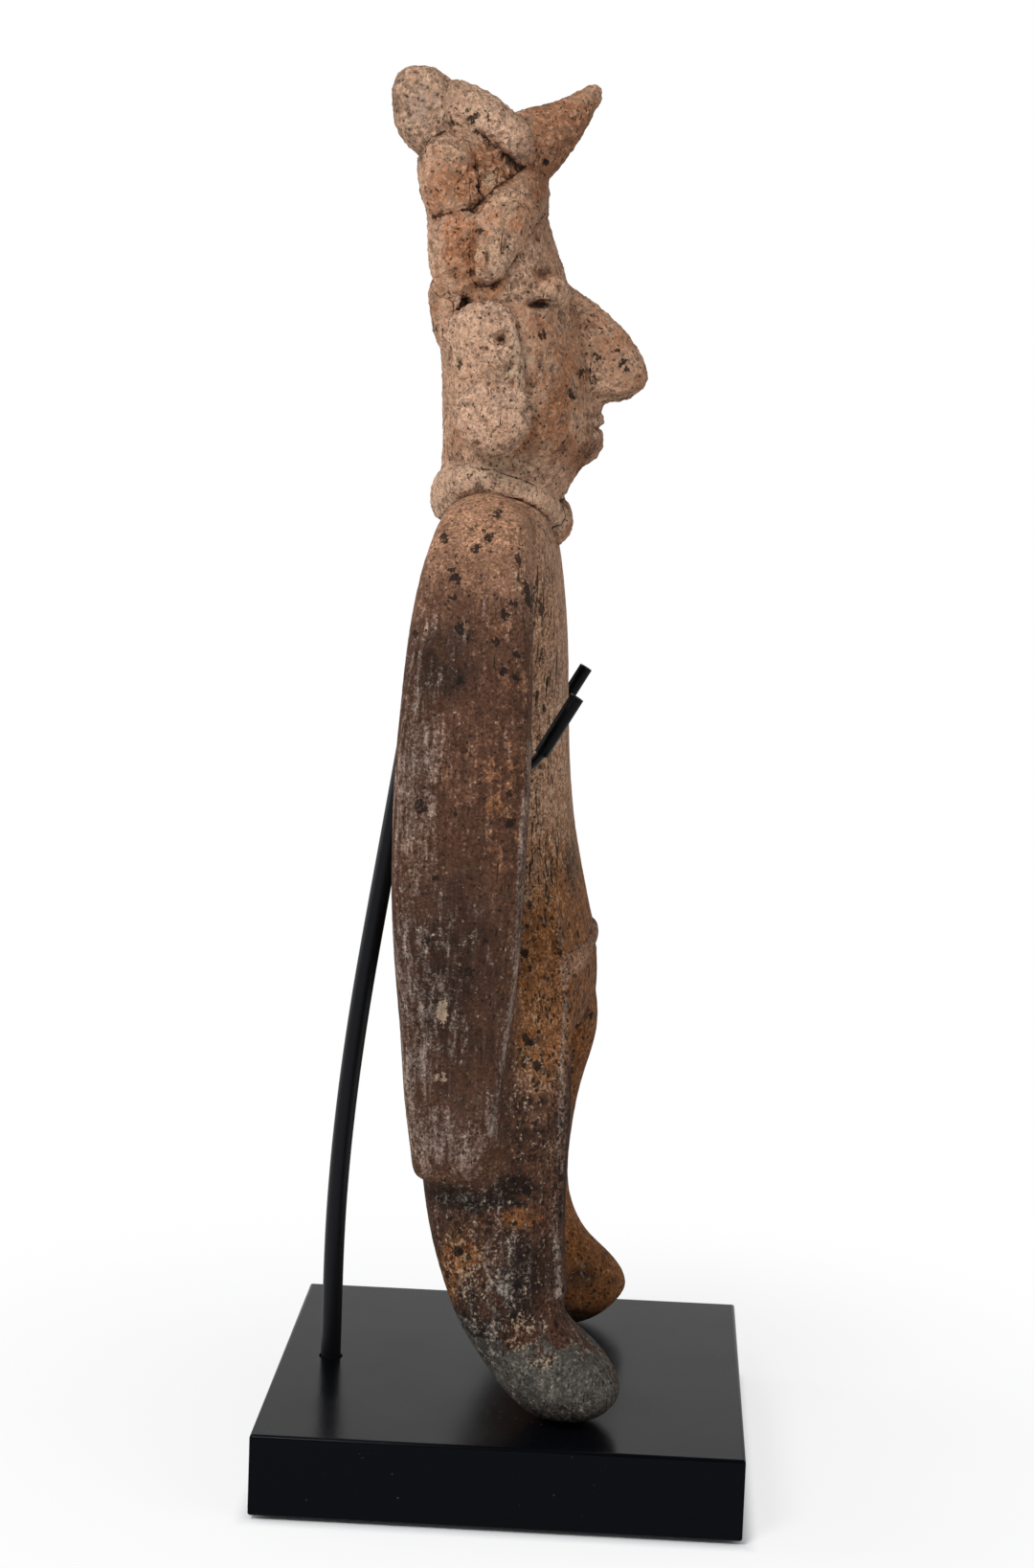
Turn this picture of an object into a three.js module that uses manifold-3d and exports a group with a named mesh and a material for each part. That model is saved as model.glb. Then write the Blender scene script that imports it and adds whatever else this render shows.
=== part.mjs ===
// A flat, hand-built clay figure on its display stand, in millimetres.
// +Z is up, the figure faces -Y, and its right side is at -X.
// The origin is the middle of the stand's underside.
//
// The figure is built as a potter builds it: a torso slab and a head slab, rolled arms and legs, and rolls
// and pellets of clay pressed on for the face, the headdress and the jewellery. Each piece is cut back from
// the pieces it was pressed against, which leaves a thin seam between them. A wire cradle on a bent rod
// holds the figure by the gaps inside its arms, and the rod drops into a socket in the base.

import * as THREE from "three";
import { mergeVertices } from "three/addons/utils/BufferGeometryUtils.js";
import Module from "manifold-3d";

const wasm = await Module();
wasm.setup();

// Stand: base block and felt

const BASE_WIDTH = 114; // across the figure
const BASE_DEPTH = 106; // front to back
const BLOCK_HEIGHT = 18;
const BLOCK_CHAMFER = 0.4;
const FELT_THICKNESS = 1;
const FELT_INSET = 4;

// Stand: rod, wire cradle and sleeves

const ROD_DIAMETER = 4.8;
const ROD_SETBACK = 11.3; // from the block's back edge
const ROD_STRAIGHT = 55; // above the block, up to the corner where the rod leans forward
const ROD_BEND = 44; // length of the bend on each side of that corner
const ROD_OVERSHOOT = 4; // above the wire that is brazed to it
const ROD_NOTCH = 0.8; // how deep the wire lies in the rod
const SOCKET_DEPTH = 13;
const SOCKET_CLEARANCE = 0.3;
const WIRE_DIAMETER = 2.2;
const WIRE_BEND = 6;
const WIRE_TO_BACK = 1.4; // between the wire and the figure's back
const CRADLE_HEIGHT = 149; // of the wire behind the back, above the soles
const CRADLE_DIP = 8; // how far each prong dips inside the arm gap before it rises
const PRONG_ANGLE = 60; // degrees above level
const PRONG_REACH = 2.6; // of the prong's tip in front of the torso
const PRONG_TIP_RISE = 9; // of the prong's tip above the cradle's wire
const SLEEVE_CLEARANCE = 0.2;
const SLEEVE_WALL = 0.35;
const SLEEVE_OVERHANG = 0.8; // of the sleeve past the wire's end

// Clay: seams, and how full the sections are. 2 is an ellipse, and more is squarer.

const SEAM = 0.3;
const SOLE_GAP = 0.3; // between the soles and the base
const LEG_FULLNESS = 2.6;
const ARM_FULLNESS = 3.2;
const NOSE_FULLNESS = 2.3;
const SLAB_FULLNESS = 2.6;
const HEAD_FULLNESS = 2.15;
const ROLL_FULLNESS = 2.2;
const CREST_FULLNESS = 3;

// Clay: how far the ends of each form round off

const TORSO_ENDS = { bottom: 2.5, top: 9 };
const HEAD_ENDS = { bottom: 3, top: 9 };
const LEG_ENDS = { bottom: 4.5, top: 8 };
const ARM_ENDS = { bottom: 3, top: 5 };
const NOSE_ENDS = { bottom: 3, top: 4 };

// Clay sections, from the bottom up. Each rises above the one before, and fills the space between front and
// back. A leg's inner and outer sides are measured from the middle of the figure. A turn, in degrees, twists
// a section.

const RIGHT_LEG = [
  { rise: 0, front: -19, back: -7, inner: 28, outer: 43 },
  { rise: 3, front: -23.5, back: -4, inner: 24.5, outer: 47 },
  { rise: 5.5, front: -25.4, back: 1.4, inner: 23, outer: 49 }, // toes
  { rise: 8, front: -20, back: 6.6, inner: 23, outer: 49 }, // instep
  { rise: 5.5, front: -12.4, back: 10.2, inner: 23.5, outer: 48.6 }, // ankle
  { rise: 8, front: -11.2, back: 13.4, inner: 23, outer: 48.6 },
  { rise: 10, front: -10.6, back: 16.8, inner: 21.5, outer: 49 }, // shin
  { rise: 17, front: -10.3, back: 19.6, inner: 17, outer: 49.5 }, // knee
  { rise: 18, front: -11.6, back: 20.6, inner: 11, outer: 48 }, // thigh
  { rise: 15, front: -10, back: 18, inner: 10, outer: 42 }, // inside the hip
];
const LEFT_LEG = [
  { rise: 0, front: -17, back: -5, inner: 28, outer: 43 },
  { rise: 3.5, front: -20.5, back: -2, inner: 24.5, outer: 47 },
  { rise: 6.4, front: -26.2, back: 2.4, inner: 23, outer: 49 }, // toes
  { rise: 6, front: -21.6, back: 6.6, inner: 23, outer: 49 }, // instep
  { rise: 7, front: -14.4, back: 10.4, inner: 23.5, outer: 48.6 }, // ankle
  { rise: 9, front: -10.7, back: 13.4, inner: 23, outer: 48.6 },
  { rise: 10, front: -10.7, back: 15.8, inner: 21.5, outer: 49 }, // shin
  { rise: 17, front: -12.8, back: 17.4, inner: 17, outer: 49.5 }, // knee
  { rise: 16, front: -15.9, back: 18.6, inner: 11, outer: 48 }, // thigh
  { rise: 15, front: -14, back: 17, inner: 10, outer: 42 }, // inside the hip
];
const CROTCH_HEIGHT = 81;
const TORSO = [
  { rise: 0, front: -14.2, back: 20, wide: 95, turn: -4.4 },
  { rise: 9, front: -14.6, back: 20.6, wide: 93, turn: -4.4 }, // hips
  { rise: 8, front: -14.4, back: 21.2, wide: 84, turn: -4.4 }, // belt
  { rise: 12, front: -12.4, back: 22, wide: 68, turn: -3.4 },
  { rise: 18, front: -9, back: 22.4, wide: 60, turn: -1 }, // waist
  { rise: 20, front: -7.3, back: 22.5, wide: 59 },
  { rise: 15, front: -6.7, back: 22.5, wide: 65 },
  { rise: 15, front: -5.4, back: 22.5, wide: 80 }, // chest
  { rise: 12, front: -3.4, back: 22, wide: 85 }, // shoulders
  { rise: 12, front: -0.4, back: 20, wide: 62 },
];
const NECK_DEPTH = 16; // of the head's neck inside the torso
const HEAD = [
  { rise: 0, front: -2, back: 20.5, wide: 30 },
  { rise: 9, front: -3.2, back: 22, wide: 34 }, // neck
  { rise: 7, front: -4.4, back: 22.4, wide: 39 },
  { rise: 7, front: -8.6, back: 22.5, wide: 47 }, // jaw
  { rise: 8, front: -10.7, back: 22.6, wide: 54 }, // mouth
  { rise: 12, front: -7.6, back: 23, wide: 57 }, // cheeks
  { rise: 14, front: -4, back: 25, wide: 57 }, // eyes
  { rise: 13, front: 0.4, back: 27, wide: 55 },
  { rise: 13, front: 5.6, back: 29, wide: 51 },
  { rise: 15, front: 13, back: 32.5, wide: 44 }, // crown
];

// An arm hangs from the shoulder. Its gap is measured from the torso's or leg's side, and is negative where
// it was pressed on.

const SHOULDER_DROP = 1; // of the arm's top below the torso's top
const ARM = [
  { drop: 0, front: 4, back: 18, gap: -9, thick: 16 },
  { drop: 6, front: 1.4, back: 20, gap: -11, thick: 20 },
  { drop: 10, front: 0.2, back: 22.8, gap: -7, thick: 21 },
  { drop: 16, front: -0.8, back: 25, gap: 4.5, thick: 18.5 },
  { drop: 19, front: -0.9, back: 26.3, gap: 14.5, thick: 16.5 }, // elbow
  { drop: 22, front: -0.8, back: 26.5, gap: 15.5, thick: 16 },
  { drop: 23, front: -0.5, back: 25.8, gap: 6.5, thick: 16.5 },
  { drop: 15, front: 0.8, back: 24.4, gap: -4, thick: 15.5 }, // wrist
  { drop: 15, front: 1.9, back: 23, gap: -8, thick: 15 },
  { drop: 13, front: 3, back: 21.2, gap: -8.5, thick: 13 },
  { drop: 8, front: 4.4, back: 20.2, gap: -8.5, thick: 12 }, // hand
];

// Face: where each piece lies on the head, as an angle round from the front and a height above the neck's
// root

const NOSE_ROOT = 61.5; // height above the neck's root
const NOSE = [
  { drop: 0, front: -1.5, wide: 7 },
  { drop: 3, front: -7.2, wide: 8 },
  { drop: 6, front: -14.6, wide: 10.5 },
  { drop: 6, front: -19.8, wide: 13 },
  { drop: 5, front: -21.8, wide: 15 }, // tip
  { drop: 4, front: -20.6, wide: 14.5 },
  { drop: 2.6, front: -15.5, wide: 12 },
];
const NOSE_SINK = 7; // of the nose's back into the face
const EYE = { angle: 39, height: 57.5, wide: 13, tall: 8, thick: 6 };
const EYE_SLIT = { below: 2, wide: 8, tall: 1.2, deep: 1.6 };
const LIPS = { height: 29.6, wide: 17, tall: 8.5, thick: 4 };
const LIP_SLIT = { wide: 12, tall: 1, deep: 1.6 };
const EAR = [
  { angle: 101, height: 54.5, wide: 10, thick: 5 },
  { angle: 104, height: 43, wide: 13, thick: 7.5 },
  { angle: 104, height: 32, wide: 12.5, thick: 7 },
];
const EAR_ORNAMENT = { angle: 102, height: 31.4, wide: 13, tall: 13.5, thick: 11 };

// Jewellery and belt

const NECKLACE = [
  { angle: 7, height: 8.8, wide: 5.2, thick: 5.2 },
  { angle: 45, height: 12.2, wide: 4.8, thick: 5 },
  { angle: 90, height: 16.8, wide: 4.8, thick: 5 },
  { angle: 128, height: 17, wide: 6.2, thick: 5 },
  { angle: 150, height: 14.4, wide: 10, thick: 5 },
  { angle: 174, height: 12.8, wide: 10, thick: 5 },
];
const PENDANT = { height: 8.4, wide: 15, tall: 10.4, thick: 6.4 };
const BELT_HEIGHT = 17.5; // above the crotch
const BELT_TALL = 5;
const BELT_PROUD = 0.9;
const BELT_SWEEP = 74; // degrees round from the front, on each side

// Headdress

const HEADBAND = [
  { angle: 101, height: 59, wide: 8, thick: 6 },
  { angle: 88, height: 66.8, wide: 11.5, thick: 8 },
  { angle: 66, height: 73, wide: 12.5, thick: 8 },
  { angle: 36, height: 77.4, wide: 12, thick: 6 },
  { angle: 8, height: 79.5, wide: 11, thick: 5 },
];
const UPPER_LOCK = [
  { angle: 111, height: 90, wide: 11.5, thick: 10 },
  { angle: 113, height: 81, wide: 13, thick: 12 },
  { angle: 116, height: 72, wide: 12.5, thick: 11.5 },
];
const LOWER_LOCK = [
  { angle: 112, height: 75, wide: 13, thick: 10 },
  { angle: 118, height: 65, wide: 14, thick: 11 },
  { angle: 122, height: 55.5, wide: 9, thick: 9 },
];
const HAIR_TAIL = [
  { angle: 128, height: 60, wide: 10, thick: 8 },
  { angle: 135, height: 45.5, wide: 8, thick: 6 },
];
const CREST = { rise: 96.2, back: 28.2, long: 54, tall: 17.8, thick: 12.4 };
const TOP_ROLL = [
  { out: 11.5, back: 6, rise: 86.6, wide: 18, thick: 10 },
  { out: 13, back: 13.3, rise: 92.6, wide: 21, thick: 11 },
  { out: 13.5, back: 19, rise: 95.7, wide: 21, thick: 12.5 },
  { out: 13.5, back: 27, rise: 97.4, wide: 18, thick: 13 },
];
const HORN = [
  { back: 13, rise: 85, wide: 32, thick: 22 },
  { back: 6.4, rise: 89.6, wide: 28, thick: 18.6 },
  { back: 1.9, rise: 92.8, wide: 21, thick: 13.4 },
  { back: -2, rise: 96, wide: 14, thick: 9.4 },
  { back: -6.3, rise: 100.4, wide: 7, thick: 5.4 },
  { back: -8.6, rise: 103, wide: 3.4, thick: 3 },
];

// Mesh density

const SLAB_MESH = { sides: 24, rings: 22 };
const LIMB_MESH = { sides: 16, rings: 22 };
const ROLL_MESH = { sides: 10, rings: 10 };
const COIL_MESH = { sides: 10, rings: 26 };
const PELLET_SIDES = 12;
const PELLET_RINGS = 8;
const ROUND_SIDES = 20;
const WIRE_SIDES = 12;
const WIRE_STEPS = 60;
const ROD_STEPS = 18;

const RIGHT = -1;
const LEFT = 1;
const UP = new THREE.Vector3(0, 0, 1);

const material = (color, roughness) => new THREE.MeshStandardMaterial({ color, roughness, metalness: 0 });
const burnishedClay = material(0x84604a, 0.55);
const grittyClay = material(0xa07c62, 0.85);
const smokedClay = material(0x5d4c40, 0.7);
const blackPaint = material(0x141417, 0.5);
const blackSteel = material(0x101012, 0.4);
const blackTubing = material(0x0c0c0d, 0.45);
const blackFelt = material(0x1a1a1c, 0.95);

// Solids

function solidOf(geometry) {
  geometry.deleteAttribute("normal");
  geometry.deleteAttribute("uv");
  const merged = mergeVertices(geometry, 1e-4);
  const vertProperties = new Float32Array(merged.attributes.position.array);
  const triVerts = new Uint32Array(merged.index.array);
  return new wasm.Manifold(new wasm.Mesh({ numProp: 3, vertProperties, triVerts }));
}

function meshOf(name, solid, finish) {
  const { vertProperties, triVerts } = solid.getMesh();
  const geometry = new THREE.BufferGeometry();
  geometry.setAttribute("position", new THREE.BufferAttribute(vertProperties, 3));
  geometry.setIndex(new THREE.BufferAttribute(triVerts, 1));
  geometry.computeVertexNormals();
  const mesh = new THREE.Mesh(geometry, finish);
  mesh.name = name;
  return mesh;
}

// Size of a rounded end: 0 at its tip and 1 once it is a full radius in. The tip keeps a small flat.
function roundedEnd(distance, radius) {
  const tipFlat = 0.02;
  const inward = THREE.MathUtils.clamp(distance / radius, tipFlat, 1);
  return Math.sqrt(1 - (1 - inward) ** 2);
}

// A closed tube of clay: a cylinder whose rings are set to the sections from t = 0 to t = 1. A section has a
// centre and two half-axes, and its outline is an ellipse that is squared off by its fullness.
function clayTube(sectionAt, { sides, rings }, fullness) {
  const geometry = new THREE.CylinderGeometry(1, 1, 1, sides, rings);
  const position = geometry.attributes.position;
  const squared = (c) => Math.sign(c) * Math.abs(c) ** (2 / fullness);
  const crowding = 0.75; // of the rings towards both ends
  for (let i = 0; i < position.count; i++) {
    const even = position.getY(i) + 0.5;
    const t = even - (crowding * Math.sin(2 * Math.PI * even)) / (2 * Math.PI);
    const { centre, across, outward } = sectionAt(t);
    const point = centre.clone();
    point.addScaledVector(across, squared(position.getX(i)));
    point.addScaledVector(outward, squared(position.getZ(i)));
    position.setXYZ(i, point.x, point.y, point.z);
  }
  return solidOf(geometry);
}

// A smooth run through listed sections: their centres, sizes and turns at any t from 0 to 1.
function smoothRun(sections) {
  const through = (points) => new THREE.CatmullRomCurve3(points, false, "catmullrom", 0.5);
  const centres = through(sections.map(({ x, y, z }) => new THREE.Vector3(x, y, z)));
  const sizes = through(sections.map(({ wide, deep, turn = 0 }) => new THREE.Vector3(wide, deep, turn)));
  return (t) => {
    const { x: wide, y: deep, z: turn } = sizes.getPoint(t);
    return { centre: centres.getPoint(t), wide, deep, turn: THREE.MathUtils.degToRad(turn) };
  };
}

// A slab or limb of level sections. It can be grown all round, and it can say how far its surface reaches.
class LevelForm {
  constructor(sections, mesh, fullness, ends) {
    this.run = smoothRun(sections);
    this.mesh = mesh;
    this.fullness = fullness;
    this.ends = ends;
    this.bottom = sections[0].z;
    this.top = sections.at(-1).z;
  }

  solid(grow = 0) {
    const section = (t) => {
      const { centre, wide, deep, turn } = this.run(t);
      const end = Math.min(
        roundedEnd(centre.z - this.bottom, this.ends.bottom),
        roundedEnd(this.top - centre.z, this.ends.top),
      );
      centre.z += grow * (2 * t - 1);
      const across = new THREE.Vector3((wide / 2) * end + grow, 0, 0).applyAxisAngle(UP, turn);
      const outward = new THREE.Vector3(0, -(deep / 2) * end - grow, 0).applyAxisAngle(UP, turn);
      return { centre, across, outward };
    };
    return clayTube(section, this.mesh, this.fullness);
  }

  // The section at a height, found by halving the run.
  at(z) {
    let low = 0;
    let high = 1;
    for (let step = 0; step < 24; step++) {
      const middle = (low + high) / 2;
      if (this.run(middle).centre.z < z) low = middle;
      else high = middle;
    }
    return this.run(low);
  }

  // A point of the surface at an angle round from the front, on the right or left side, and the way out.
  surface(degrees, z, side) {
    const { centre, wide, deep, turn } = this.at(z);
    const angle = THREE.MathUtils.degToRad(degrees);
    const squared = (c) => Math.sign(c) * Math.abs(c) ** (2 / this.fullness);
    const [x, y] = [side * squared(Math.sin(angle)) * wide, -squared(Math.cos(angle)) * deep];
    const point = new THREE.Vector3(x, y, 0);
    const out = new THREE.Vector3(x / wide ** 2, y / deep ** 2, 0).normalize();
    point.multiplyScalar(0.5).applyAxisAngle(UP, turn).add(centre);
    point.z = z;
    return { point, out: out.applyAxisAngle(UP, turn) };
  }
}

// Listed sections, each a rise above the last, as centred ones. Slabs have a width, and limbs have two sides.
function stack(start, rows, side = 0) {
  let z = start;
  return rows.map(({ rise, front, back, wide, inner, outer, turn }) => {
    z += rise;
    const x = side === 0 ? 0 : (side * (inner + outer)) / 2;
    return { x, y: (front + back) / 2, z, wide: wide ?? outer - inner, deep: back - front, turn };
  });
}

// A roll of clay along stations, each with a place, the way out from what it lies on, a width and a
// thickness.
class Roll {
  constructor(stations, mesh = ROLL_MESH, fullness = ROLL_FULLNESS) {
    Object.assign(this, { stations, mesh, fullness });
  }

  solid(grow = 0) {
    const path = new THREE.CatmullRomCurve3(this.stations.map(({ point }) => point));
    const outs = new THREE.CatmullRomCurve3(this.stations.map(({ out }) => out));
    const sizes = this.stations.map(({ wide, thick }, i) => ({ x: i, y: 0, z: 0, wide, deep: thick }));
    const size = smoothRun(sizes);
    const length = path.getLength();
    const section = (t) => {
      const { wide, deep: thick } = size(t);
      const endRadius = Math.min(wide, thick) / 2;
      const end = roundedEnd(Math.min(t, 1 - t) * length, endRadius);
      const tangent = path.getTangent(t);
      const centre = path.getPoint(t).addScaledVector(tangent, grow * (2 * t - 1));
      const out = outs.getPoint(t);
      out.addScaledVector(tangent, -out.dot(tangent)).normalize();
      const across = tangent.clone().cross(out).multiplyScalar((wide / 2) * end + grow);
      return { centre, across, outward: out.multiplyScalar((thick / 2) * end + grow) };
    };
    return clayTube(section, this.mesh, this.fullness);
  }
}

// A pellet of clay pressed on at a point: wide across, tall upwards and thick along the way out.
class Pellet {
  constructor({ point, out }, { wide, tall, thick }) {
    Object.assign(this, { point, out, wide, tall, thick });
  }

  placing() {
    const across = this.out.clone().cross(UP).normalize();
    const upward = across.clone().cross(this.out);
    return new THREE.Matrix4().makeBasis(across, this.out, upward).setPosition(this.point);
  }

  solid(grow = 0) {
    const geometry = new THREE.SphereGeometry(1, PELLET_SIDES, PELLET_RINGS);
    geometry.scale(this.wide / 2 + grow, this.thick / 2 + grow, this.tall / 2 + grow);
    return solidOf(geometry.applyMatrix4(this.placing()));
  }

  // A level slit into the pellet's face, a little below its middle.
  slit({ below = 0, wide, tall, deep }) {
    const geometry = new THREE.BoxGeometry(wide, 2 * deep, tall);
    geometry.translate(0, this.thick / 2, -below);
    return solidOf(geometry.applyMatrix4(this.placing()));
  }
}

// The form cut back from those that it was pressed against, by the width of a seam.
function pressedOn(form, neighbours) {
  return neighbours.reduce((solid, under) => solid.subtract(under.solid(SEAM)), form.solid());
}

// Forms of the figure's body

const torso = new LevelForm(stack(CROTCH_HEIGHT, TORSO), SLAB_MESH, SLAB_FULLNESS, TORSO_ENDS);
const neckRoot = torso.top - NECK_DEPTH;
const head = new LevelForm(stack(neckRoot, HEAD), SLAB_MESH, HEAD_FULLNESS, HEAD_ENDS);
const legForm = (rows, side) => new LevelForm(stack(0, rows, side), LIMB_MESH, LEG_FULLNESS, LEG_ENDS);
const legs = { [RIGHT]: legForm(RIGHT_LEG, RIGHT), [LEFT]: legForm(LEFT_LEG, LEFT) };

// How far the torso or the leg reaches out at a height.
function flank(z, side) {
  const reach = (form) => {
    const { centre, wide } = form.at(THREE.MathUtils.clamp(z, form.bottom, form.top));
    return side * centre.x + wide / 2;
  };
  const hips = torso.bottom + TORSO[1].rise;
  return z > hips ? reach(torso) : reach(legs[side]);
}

function armForm(side) {
  let z = torso.top - SHOULDER_DROP;
  const rows = ARM.map(({ drop, front, back, gap, thick }) => {
    z -= drop;
    const x = side * (flank(z, side) + gap + thick / 2);
    return { x, y: (front + back) / 2, z, wide: thick, deep: back - front };
  });
  return new LevelForm(rows.reverse(), LIMB_MESH, ARM_FULLNESS, ARM_ENDS);
}
const arms = { [RIGHT]: armForm(RIGHT), [LEFT]: armForm(LEFT) };

// Pieces that lie on the head. Their heights are measured from the neck's root.

const onHead = (side) => (row) => ({ ...row, ...head.surface(row.angle, neckRoot + row.height, side) });
const headRoll = (rows, side, mesh) => new Roll(rows.map(onHead(side)), mesh);
const headPellet = (sizes, side) => new Pellet(onHead(side)(sizes), sizes);

function noseForm() {
  let z = neckRoot + NOSE_ROOT;
  const rows = NOSE.map(({ drop, front, wide }) => {
    z -= drop;
    const face = head.at(z);
    const back = face.centre.y - face.deep / 2 + NOSE_SINK;
    return { x: 0, y: (front + back) / 2, z, wide, deep: back - front };
  });
  return new LevelForm(rows.reverse(), ROLL_MESH, NOSE_FULLNESS, NOSE_ENDS);
}

// A coil that runs through the listed places on the right, and back through the same ones on the left.
function coilRound(rows) {
  const left = rows.map(onHead(LEFT)).reverse();
  return new Roll([...rows.map(onHead(RIGHT)), ...left], COIL_MESH);
}

const nose = noseForm();
const lips = headPellet({ angle: 0, ...LIPS }, LEFT);
const necklace = coilRound(NECKLACE);
const pendant = headPellet({ angle: 0, ...PENDANT }, LEFT);
const headband = coilRound(HEADBAND);
const crownStation = (x, { back, rise, wide, thick }, out) => ({
  point: new THREE.Vector3(x, back, neckRoot + rise),
  out,
  wide,
  thick,
});
const horn = new Roll(HORN.map((row) => crownStation(0, row, new THREE.Vector3(0, 1, 1).normalize())));
const crestStation = (end) =>
  crownStation((end * CREST.long) / 2, { ...CREST, wide: CREST.tall }, new THREE.Vector3(0, 1, 0));
const crest = new Roll([-1, 0, 1].map(crestStation), ROLL_MESH, CREST_FULLNESS);
const topRoll = (side) => new Roll(TOP_ROLL.map((row) => crownStation(side * row.out, row, UP)));

// The belt is a flat strip across the front of the hips.
function beltForm() {
  const steps = 8;
  const z = torso.bottom + BELT_HEIGHT;
  const stations = Array.from({ length: steps + 1 }, (_, i) => {
    const degrees = BELT_SWEEP * ((2 * i) / steps - 1);
    const side = Math.sign(degrees) || LEFT;
    return { ...torso.surface(Math.abs(degrees), z, side), wide: BELT_TALL, thick: 2 * BELT_PROUD };
  });
  return new Roll(stations, COIL_MESH);
}
const belt = beltForm();

// Figure

const figure = new THREE.Group();
figure.position.z = FELT_THICKNESS + BLOCK_HEIGHT + SOLE_GAP;
const addClay = (name, solid, finish) => figure.add(meshOf(name, solid, finish));

addClay("head", head.solid(), grittyClay);
addClay("torso", pressedOn(torso, [head]), burnishedClay);
addClay("nose", pressedOn(nose, [head]), grittyClay);
addClay("lips", pressedOn(lips, [head, nose]).subtract(lips.slit(LIP_SLIT)), grittyClay);
addClay("horn", pressedOn(horn, [head]), grittyClay);
addClay("headband", pressedOn(headband, [head, horn]), grittyClay);
addClay("crest_roll", pressedOn(crest, [head, horn]), grittyClay);
addClay("necklace", pressedOn(necklace, [head, torso, arms[RIGHT], arms[LEFT]]), grittyClay);
addClay("pendant", pressedOn(pendant, [head, torso, necklace]), grittyClay);
addClay("belt", pressedOn(belt, [torso, arms[RIGHT], arms[LEFT], legs[RIGHT], legs[LEFT]]), burnishedClay);

for (const [side, word] of [[RIGHT, "right"], [LEFT, "left"]]) {
  const eye = headPellet(EYE, side);
  const ear = headRoll(EAR, side);
  const ornament = headPellet(EAR_ORNAMENT, side);
  const upperLock = headRoll(UPPER_LOCK, side);
  const lowerLock = headRoll(LOWER_LOCK, side);
  const tail = headRoll(HAIR_TAIL, side);
  addClay(`${word}_leg`, pressedOn(legs[side], [torso]), smokedClay);
  addClay(`${word}_arm`, pressedOn(arms[side], [torso, head, legs[side]]), burnishedClay);
  addClay(`${word}_eye`, pressedOn(eye, [head, nose]).subtract(eye.slit(EYE_SLIT)), grittyClay);
  addClay(`${word}_ear`, pressedOn(ear, [head, headband]), grittyClay);
  addClay(`${word}_ear_ornament`, pressedOn(ornament, [head, ear]), grittyClay);
  addClay(`${word}_top_roll`, pressedOn(topRoll(side), [head, horn, crest, headband]), grittyClay);
  addClay(`${word}_upper_lock`, pressedOn(upperLock, [head, crest, headband, topRoll(side)]), grittyClay);
  addClay(`${word}_lower_lock`, pressedOn(lowerLock, [head, headband, upperLock, ear]), grittyClay);
  addClay(`${word}_hair_tail`, pressedOn(tail, [head, lowerLock, ear]), grittyClay);
}

// Stand

// A run of wire or rod through corner points, with each corner rounded over the bend length.
function bentRun(corners, bend) {
  const path = new THREE.CurvePath();
  let from = corners[0];
  corners.slice(1, -1).forEach((corner, i) => {
    const next = corners[i + 2];
    const toward = (end) => corner.clone().lerp(end, Math.min(0.5, bend / corner.distanceTo(end)));
    const [start, finish] = [toward(corners[i]), toward(next)];
    path.add(new THREE.LineCurve3(from, start));
    path.add(new THREE.QuadraticBezierCurve3(start, corner, finish));
    from = finish;
  });
  path.add(new THREE.LineCurve3(from, corners.at(-1)));
  return path;
}

const circle = (radius) => new THREE.Shape().absarc(0, 0, radius, 0, 2 * Math.PI);

function roundBar(path, diameter, steps) {
  const options = { steps, curveSegments: WIRE_SIDES / 2, bevelEnabled: false, extrudePath: path };
  return solidOf(new THREE.ExtrudeGeometry(circle(diameter / 2), options));
}

function boxShape(width, depth) {
  const [x, y] = [width / 2, depth / 2];
  return new THREE.Shape().moveTo(-x, -y).lineTo(x, -y).lineTo(x, y).lineTo(-x, y).closePath();
}

const stand = new THREE.Group();
const blockTop = FELT_THICKNESS + BLOCK_HEIGHT;
const socketFloor = blockTop - SOCKET_DEPTH;
const rodFoot = new THREE.Vector3(0, BASE_DEPTH / 2 - ROD_SETBACK, socketFloor + SOCKET_CLEARANCE);

function baseBlock() {
  const top = boxShape(BASE_WIDTH - 2 * BLOCK_CHAMFER, BASE_DEPTH - 2 * BLOCK_CHAMFER);
  const block = new THREE.ExtrudeGeometry(top, {
    depth: BLOCK_HEIGHT - 2 * BLOCK_CHAMFER,
    bevelThickness: BLOCK_CHAMFER,
    bevelSize: BLOCK_CHAMFER,
    bevelSegments: 1,
  });
  block.translate(0, 0, FELT_THICKNESS + BLOCK_CHAMFER);
  const bore = ROD_DIAMETER / 2 + SOCKET_CLEARANCE;
  const socket = new THREE.CylinderGeometry(bore, bore, 2 * SOCKET_DEPTH, ROUND_SIDES);
  socket.rotateX(Math.PI / 2).translate(rodFoot.x, rodFoot.y, blockTop);
  return solidOf(block).subtract(solidOf(socket));
}

function feltPad() {
  const outline = boxShape(BASE_WIDTH - 2 * FELT_INSET, BASE_DEPTH - 2 * FELT_INSET);
  return solidOf(new THREE.ExtrudeGeometry(outline, { depth: FELT_THICKNESS, bevelEnabled: false }));
}

// The cradle's wire runs behind the back, through each arm gap, and up in front as a prong.
const cradleZ = figure.position.z + CRADLE_HEIGHT;
const backOfTorso = torso.at(CRADLE_HEIGHT);
const armAtCradle = arms[LEFT].at(CRADLE_HEIGHT);
const prongX = (flank(CRADLE_HEIGHT, LEFT) + armAtCradle.centre.x - armAtCradle.wide / 2) / 2;
const wireY = backOfTorso.centre.y + backOfTorso.deep / 2 + WIRE_TO_BACK + WIRE_DIAMETER / 2;
const tipY = backOfTorso.centre.y - backOfTorso.deep / 2 - PRONG_REACH;
const prongSlope = Math.tan(THREE.MathUtils.degToRad(PRONG_ANGLE));
const prongTip = new THREE.Vector3(prongX, tipY, cradleZ + PRONG_TIP_RISE);
const footY = tipY + (PRONG_TIP_RISE + CRADLE_DIP) / prongSlope;
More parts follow.
